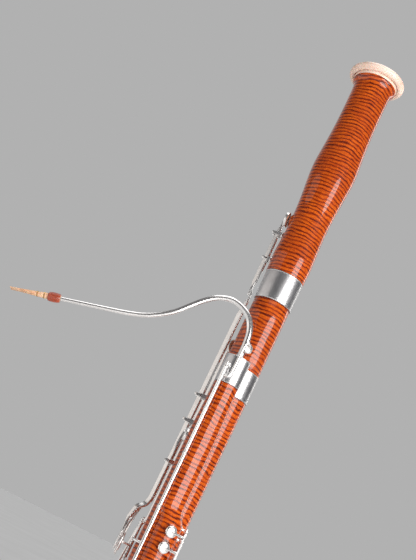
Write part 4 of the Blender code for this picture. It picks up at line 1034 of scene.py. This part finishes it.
def make_lever_keys(wood, silver, steel, skin):
    """Levers on saddles, with their pads and the raised seats that the pads close on."""
    for name, (angle, twist, pad, line) in LEVERS.items():
        shape = Shape().lever(LONG_Y, angle, line, twist)
        lever_barrel(shape, angle, *pivot_place(name))
        if pad:
            height, inner, radius = pad
            centre = around(LONG_Y, angle, inner, height)
            thick, skirt, opening = LEVER_PAD, LEVER_SKIRT, 0.0
            if name == "bell_key":
                thick, skirt, opening = BELL_PAD, BELL_SKIRT, BELL_OPENING
            pad_cup(shape, centre, outward(angle), radius, skirt=skirt)
            make_pad(name + "_pad", centre, outward(angle), radius - PAD_INSET, thick, skin, name)
            make_seat(name + "_seat", angle, height, inner - thick - opening - PAD_GAP, radius - 0.0018, wood)
        piece(name + "_lever", shape, [silver], name, [name])
    mounts = [silver, steel]
    for name, angle, key, tall in SADDLES:
        reach, height = pivot_place(key)
        lever_saddle(name, angle, height, wood_reach(height) + 0.0002, reach, tall, mounts)
    guide = sum(span("bell_key_guide")) / 2
    lever_saddle("bell_key_guide", 180.0, guide, BELL_REACH, KEY_REACH, BELL_GUIDE_TALL, mounts, pin=False)
    lever_saddle("b_flat_guide", 180.0, B_FLAT_GUIDE, wood_reach(B_FLAT_GUIDE) + 0.0002, KEY_REACH, GUIDE_TALL,
                 mounts, pin=False, nodes=[])


def make_seat(name, angle, height, reach, radius, wood):
    """The raised wooden rim round a tone hole, cut flat for the pad."""
    root = wood_reach(height) - 0.0035
    tall = reach - root
    profile = [(radius - 0.0022, 0.0), (radius + 0.0012, 0.0), (radius + 0.0004, tall - 0.0010),
               (radius, tall - 0.0003), (radius - 0.0004, tall), (radius - 0.0018, tall),
               (radius - 0.0022, tall - 0.0004)]
    made = Shape().turned(softened(profile, 0.0003, 3, closed=True),
                          facing(around(LONG_Y, angle, root, height), outward(angle)), 56, closed=True)
    piece(name, made, [wood])


def rod_posts(name, axis_y, angle, reach, heights, surface, materials, nodes, shape=None):
    shape = shape or Shape()
    rod(shape, around(axis_y, angle, reach, heights[-1] - 0.0020),
        around(axis_y, angle, reach, heights[0] + 0.0020))
    for height in heights:
        post(shape, around(axis_y, angle, surface(angle, height), height), around(axis_y, angle, reach, height))
    return piece(name, shape, materials, nodes=nodes) if name else shape


def rod_key(name, axis_y, angle, reach, top, low, silver, skin, cups=(), touches=(), body=None):
    """A key on a rod.

    cups are (rim centre, outward, radius, thickness of pad, points of the arm);
    touches are (centre, outward, half width, half length).
    """
    body = body or name
    shape = Shape()
    hinge_tube(shape, around(axis_y, angle, reach, low), around(axis_y, angle, reach, top))
    for centre, out, radius, pad, *over in cups:
        centre, out = Vector(centre), Vector(out).normalized()
        root = around(axis_y, angle, reach, centre.z)
        pad_cup(shape, centre, out, radius, 0.0038)
        line = softened([root, *over, centre + out * 0.0040], 0.004, 6)
        count = len(line) - 1
        shape.swept(line, [0.0017 - 0.0005 * index / count for index in range(count + 1)], 16)
        make_pad(name + "_pad", centre, out, radius - PAD_INSET, pad, skin, body)
    for centre, out, half_across, half_along in touches:
        centre, out = Vector(centre), Vector(out).normalized()
        root = around(axis_y, angle, reach, centre.z)
        shape.swept([root, root.lerp(centre, 0.5) - out * 0.0002, centre + out * 0.0004],
                    [0.0019, 0.0014, 0.0017], 16)
        paddle(shape, centre, out, half_across, half_along)
    piece(name + "_plate", shape, [silver], body, [name])


def make_little_finger_keys(silver, steel, skin):
    angle, reach = 15.0, 0.0265
    rod_posts("little_finger_rod", LONG_Y, angle, reach, (0.6530, 0.5790, 0.4900),
              lambda _, height: long_radius(height), [silver, steel], ["little_finger_posts"])
    for name, top, low, height, touch in (("low_c_sharp_key", 0.6500, 0.5820, 0.6400, 0.5960),
                                          ("low_d_sharp_key", 0.5760, 0.4930, 0.5600, 0.5100)):
        rod_key(name, LONG_Y, angle, reach, top, low, silver, skin,
                cups=((around(LONG_Y, 62, long_radius(height) + PAD_SEAT, height), outward(62), 0.0085, 0.0032,
                       around(LONG_Y, 38, 0.0275, height)),),
                touches=(((0.0365, 0.0120, touch), (1, -0.15, 0), 0.0060, 0.0100),))


WHISPER_ROD = (-106.5, 0.0199)
WHISPER_BRIDGE = 0.6720
# (angle, reach, height) of the arm that runs up beside the ferrule and over to the cup
WHISPER_ARM = ((-86, 0.0182, 0.8800), (-80, 0.0180, 0.8860), (-78, 0.0178, 0.9120), (-76, 0.0176, 0.9215),
               (-68, 0.0168, 0.9250), (-56, 0.0150, 0.9235))
TRILL_LOW = 0.5950


def make_whisper_key(silver, steel, skin):
    angle, reach = WHISPER_ROD
    rod_posts("whisper_rod", WING_Y, angle, reach, (0.8920, 0.6300), wing_surface, [silver, steel],
              ["whisper_posts"])
    shape = Shape()
    hinge_tube(shape, around(WING_Y, angle, reach, 0.6330), around(WING_Y, angle, reach, 0.8888))
    out = outward(NIB_TURN)
    pad = around(WING_Y, NIB_TURN, 0.0092, NIB_HEIGHT)
    line = [around(WING_Y, *stop) for stop in WHISPER_ARM]
    arm = smooth_route([around(WING_Y, angle, reach, 0.8780)] + line + [pad + out * 0.0034], 6)
    count = len(arm) - 1
    shape.swept(arm, [0.0019 - 0.0005 * index / count for index in range(count + 1)], 18)
    pad_cup(shape, pad, out, 0.0060, 0.0040)
    make_pad("whisper_pad", pad, out, 0.0054, 0.0007, skin, "whisper_key")
    finger = [around(WING_Y, angle, reach, WHISPER_BRIDGE), around(WING_Y, -128, 0.0225, WHISPER_BRIDGE),
              around(WING_Y, -144, 0.0225, WHISPER_BRIDGE)]
    shape.swept(softened(finger, 0.003), 0.0015, 14)
    for height in (0.8350, 0.7790, 0.7150):
        collar = facing(around(WING_Y, angle, reach, height), UP, Vector((1.0, 0.0, 0.0)))
        profile = [(0.0020, -0.0018), (0.0027, -0.0018), (0.0029, -0.0012), (0.0025, -0.0006), (0.0029, 0.0),
                   (0.0025, 0.0006), (0.0029, 0.0012), (0.0027, 0.0018), (0.0020, 0.0018)]
        shape.turned(profile, collar, 28, closed=True)
    piece("whisper_key_plate", shape, [silver], "whisper_key", ["whisper_key"])


def make_wing_thumb_keys(silver, steel, skin):
    """The whisper touch and three flick keys on one rod."""
    angle, reach = 165.0, 0.0235
    heights = (0.6950, 0.6480, 0.6010, 0.5540, 0.5070)
    rod_posts("wing_thumb_rod", WING_Y, angle, reach, heights, wing_surface, [silver, steel],
              ["wing_thumb_posts"])
    shape = Shape()
    top, low = heights[0] - POST_CLEAR, heights[1] + POST_CLEAR
    hinge_tube(shape, around(WING_Y, angle, reach, low), around(WING_Y, angle, reach, top))
    push = [around(WING_Y, angle, reach, WHISPER_BRIDGE), around(WING_Y, 188, 0.0245, WHISPER_BRIDGE),
            around(WING_Y, 206, 0.0235, WHISPER_BRIDGE)]
    shape.swept(softened(push, 0.004), 0.0016, 16)
    touch, out = around(WING_Y, 184, 0.0310, 0.6640), Vector((-1.0, -0.1, 0.0))
    root = around(WING_Y, angle, reach, touch.z)
    shape.swept([root, root.lerp(touch, 0.5), touch + out * 0.0004], [0.0019, 0.0014, 0.0017], 16)
    paddle(shape, touch, out, 0.0055, 0.0110)
    piece("whisper_thumb_plate", shape, [silver], "whisper_touch", ["whisper_touch"])
    for name, upper, lower in zip(("high_c_flick_key", "high_a_flick_key", "c_sharp_thumb_key"),
                                  heights[1:], heights[2:]):
        middle = (upper + lower) / 2
        seat = wing_radius(210, middle + 0.010)
        rod_key(name, WING_Y, angle, reach, upper - POST_CLEAR, lower + POST_CLEAR, silver, skin,
                cups=((around(WING_Y, 210, 0.0205, middle + 0.010), outward(210), 0.0055, 0.0205 - seat - 0.0002,
                       around(WING_Y, 188, 0.0240, middle + 0.010)),),
                touches=((around(WING_Y, 150, 0.0330, middle - 0.008), (-1, 0.2, 0), 0.0048, 0.0090),))


def make_trill_keys(silver, steel, skin):
    """Two keys on two parallel rods, their pads side by side on the front of the epaulette."""
    lower_rod, upper_rod = (0.0, 0.0300, 0.6920), (14.0, 0.0292, 0.7040)
    shape = Shape()
    for angle, reach, top in (lower_rod, upper_rod):
        rod_posts(None, WING_Y, angle, reach, (top, TRILL_LOW), wing_surface, None, None, shape)
    shape.swept([around(WING_Y, *lower_rod[:2], TRILL_LOW), around(WING_Y, *upper_rod[:2], TRILL_LOW)],
                0.0012, 14)
    piece("trill_rods", shape, [silver, steel], nodes=["trill_posts"])
    out = outward(-47)
    for name, (angle, reach, top), height, touch in (
            ("trill_key_upper", upper_rod, 0.6960, around(WING_Y, 24, 0.0375, 0.6380)),
            ("trill_key_lower", lower_rod, 0.6780, around(WING_Y, 12, 0.0400, 0.6140))):
        seat = wing_radius(-47, height)
        rod_key(name, WING_Y, angle, reach, top - POST_CLEAR, TRILL_LOW + POST_CLEAR, silver, skin,
                cups=((around(WING_Y, -47, 0.0268, height), out, 0.0067, 0.0268 - seat - 0.0002,
                       around(WING_Y, -20, 0.0290, height)),),
                touches=((touch, (1, 0.2, 0), 0.0045, 0.0070),))


# each key: name, pad height, touch height, pad radius, touch radius, stands open
FINGER_KEYS = (("g_key", 0.2150, 0.2150, 0.0095, 0.0080, True),
               ("a_flat_key", 0.1650, 0.1820, 0.0085, 0.0065, False),
               ("f_key", 0.1200, 0.1380, 0.0110, 0.0070, True),
               ("f_sharp_key", 0.0840, 0.0960, 0.0075, 0.0060, False))
THUMB_KEYS = (("b_flat_thumb_key", 0.2950, 0.2780, 0.0085, 0.0065, False),
              ("e_pancake_key", 0.2220, 0.2420, 0.0110, 0.0125, True),
              ("f_sharp_thumb_key", 0.1680, 0.1900, 0.0080, 0.0065, False),
              ("a_flat_thumb_key", 0.1240, 0.1400, 0.0080, 0.0060, False))


def make_boot_keys(silver, steel, skin):
    flat, post_y = BOOT_R + 0.0002, 0.0240
    for side, keys, name, heights in ((1, FINGER_KEYS, "boot_finger", (0.2378, 0.1946, 0.1496, 0.1046, 0.0680)),
                                      (-1, THUMB_KEYS, "boot_thumb", (0.3178, 0.2646, 0.2046, 0.1546, 0.1080))):
        stand = side * (flat + 0.0060)
        reach, angle = math.hypot(post_y, stand), math.degrees(math.atan2(post_y, stand))
        wood = side * math.sqrt(BOOT_R ** 2 - (post_y - LONG_Y) ** 2)
        shape = Shape()
        rod(shape, Vector((stand, post_y, heights[-1] - 0.002)), Vector((stand, post_y, heights[0] + 0.002)))
        for height in heights:
            post(shape, (wood, post_y, height), (stand, post_y, height))
        piece(name + "_rod", shape, [silver, steel], nodes=[name + "_posts"])
        for key, upper, lower in zip(keys, heights, heights[1:]):
            label, pad_height, touch_height, cup_radius, touch_radius, stands_open = key
            lift = PAD_SEAT + (PAD_OPENING if stands_open else 0.0)
            touch_y = -0.0120 if stands_open else 0.0340
            rod_key(label, 0.0, angle, reach, upper - POST_CLEAR, lower + POST_CLEAR, silver, skin,
                    cups=(((side * (flat + lift), 0.0045, pad_height), (side, 0, 0), cup_radius,
                           PAD_SEAT - (0.0004 if stands_open else 0.0002),
                           Vector((side * (flat + 0.0092), 0.0150, pad_height))),),
                    touches=(((side * (flat + 0.0110), touch_y, touch_height), (side, 0.0, 0),
                              touch_radius, touch_radius * 1.25),))


# ---- hardware ------------------------------------------------------------------------------------
def make_hardware(silver, steel):
    low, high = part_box("hand_rest_socket")
    centre = (low + high) / 2
    hole_y = WING_Y - BOOT_R - 0.0055
    wide, deep, tall = (high - low) / 2
    corners = [(-wide, -deep, 0), (wide, -deep, 0), (wide, deep, 0), (-wide, deep, 0)]
    outline = softened(corners, 0.0022, 5, closed=True)
    shape = Shape().slab(outline, tall * 2, Matrix.Translation(centre), 0.0006)
    socket = piece("hand_rest_block", shape, [silver], nodes=["hand_rest_socket"])
    drilled(socket, ((centre.x, hole_y, low.z - 0.01), (centre.x, hole_y, high.z + 0.01), 0.0026, 0.0026))

    pivot = PIVOT["hand_rest_screw"]
    place = facing(pivot + Vector((0.0045, 0.0, 0.0)), (-1, 0, 0))
    shape = Shape().turned([(0.0, 0.0), (0.0018, 0.0), (0.0018, 0.0048), (0.0, 0.0048)], place, 28)
    knurl = []
    for height, radius in ((0.0044, 0.0038), (0.0048, 0.0046), (0.0054, 0.0048), (0.0076, 0.0048),
                           (0.0082, 0.0046), (0.0085, 0.0038)):
        ridges = [radius - (0.0003 if step % 2 else 0.0) for step in range(72)]
        knurl.append([place @ Vector((ridge * math.cos(turn), ridge * math.sin(turn), height))
                      for ridge, turn in zip(ridges, full_turn(72))])
    shape.skin(knurl)
    piece("hand_rest_thumbscrew", shape, [steel], "hand_rest_screw", ["hand_rest_screw"], sharp=25.0)

    low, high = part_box("strap_eye")
    height = (low.z + high.z) / 2
    back = LONG_Y + BOOT_R
    shape = Shape().turned([(0.0, 0.0006), (0.0044, 0.0006), (0.0045, 0.0012), (0.0040, 0.0019), (0.0022, 0.0024),
                            (0.0, 0.0024)], facing((0.0, back, height), (0, 1, 0)), 36)
    ear = [(0.0030 * math.cos(turn), 0.0045 + 0.0026 * math.sin(turn)) for turn in
           (math.radians(step) for step in range(-20, 201, 20))]
    ear = [(-0.0028, 0.0016), (0.0028, 0.0016)] + ear
    place = Matrix(((0, 0, 1, 0), (0, 1, 0, back), (1, 0, 0, height), (0, 0, 0, 1)))
    shape.slab(ear, 0.0021, place, 0.0003)
    eye = piece("strap_eye_plate", shape, [silver], nodes=["strap_eye"])
    drilled(eye, ((-0.01, back + 0.0045, height), (0.01, back + 0.0045, height), 0.0015, 0.0015))

    loop = [Vector((0.0085 * math.sin(turn), back + 0.0045, height - 0.0085 + 0.0085 * math.cos(turn)))
            for turn in full_turn(72)]
    rings = []
    for point in loop:
        out = (point - Vector((0.0, back + 0.0045, height - 0.0085))).normalized()
        rings.append([point + out * (0.0010 * math.cos(turn)) + Vector((0.0, 0.0010 * math.sin(turn), 0.0))
                      for turn in full_turn(16)])
    piece("strap_loop", Shape().skin(rings, closed=True), [silver], "strap_ring", ["strap_ring"])


# ---- assembly ------------------------------------------------------------------------------------
make_camera()
make_studio()
make_floor()

MAPLE = paint_maple()
BAND_SILVER = paint_metal("band_silver", (0.72, 0.715, 0.725), (0.58, 0.575, 0.585), 0.30, 0.42)
KEY_SILVER = paint_metal("key_silver", (0.94, 0.93, 0.92), (0.84, 0.82, 0.80), 0.20, 0.32, 700.0, 0.88)
CROOK_SILVER = paint_metal("crook_silver", (0.90, 0.88, 0.87), (0.78, 0.76, 0.75), 0.16, 0.28, 600.0, 0.92)
STEEL = paint_metal("rod_steel", (0.58, 0.57, 0.56), (0.40, 0.39, 0.38), 0.18, 0.30, 500.0)
BRASS = paint_metal("wire_brass", (0.80, 0.56, 0.25), (0.60, 0.38, 0.14), 0.16, 0.28, 500.0)
RESIN = paint_ring()
SKIN = paint_pad()
WRAP = paint_thread("tenon_wrap", (0.16, 0.02, 0.012), (0.48, 0.09, 0.05), 0.0006)
WINDING = paint_winding()
CANE = paint_cane(outward(CROOK_TURN))
RUBBER = paint_rubber()

make_bell(MAPLE, BAND_SILVER, RESIN)
make_long_joint(MAPLE, BAND_SILVER)
make_wing(MAPLE, BAND_SILVER)
make_boot(MAPLE, BAND_SILVER)
make_crook(CROOK_SILVER)
make_reed(CANE, WINDING, BRASS)
make_lever_keys(MAPLE, KEY_SILVER, STEEL, SKIN)
make_little_finger_keys(KEY_SILVER, STEEL, SKIN)
make_whisper_key(KEY_SILVER, STEEL, SKIN)
make_wing_thumb_keys(KEY_SILVER, STEEL, SKIN)
make_trill_keys(KEY_SILVER, STEEL, SKIN)
make_boot_keys(KEY_SILVER, STEEL, SKIN)
make_hardware(KEY_SILVER, STEEL)

for node, finish in (("boot_u_tube", BAND_SILVER), ("boot_gasket", WRAP), ("wing_liner", RUBBER),
                     ("wing_tenon_wrap", WRAP), ("long_tenon_wrap", WRAP), ("long_upper_wrap", WRAP),
                     ("bocal_cork", WRAP)):
    mesh = frame["nodes"][node].data
    mesh.materials.clear()
    mesh.materials.append(finish)
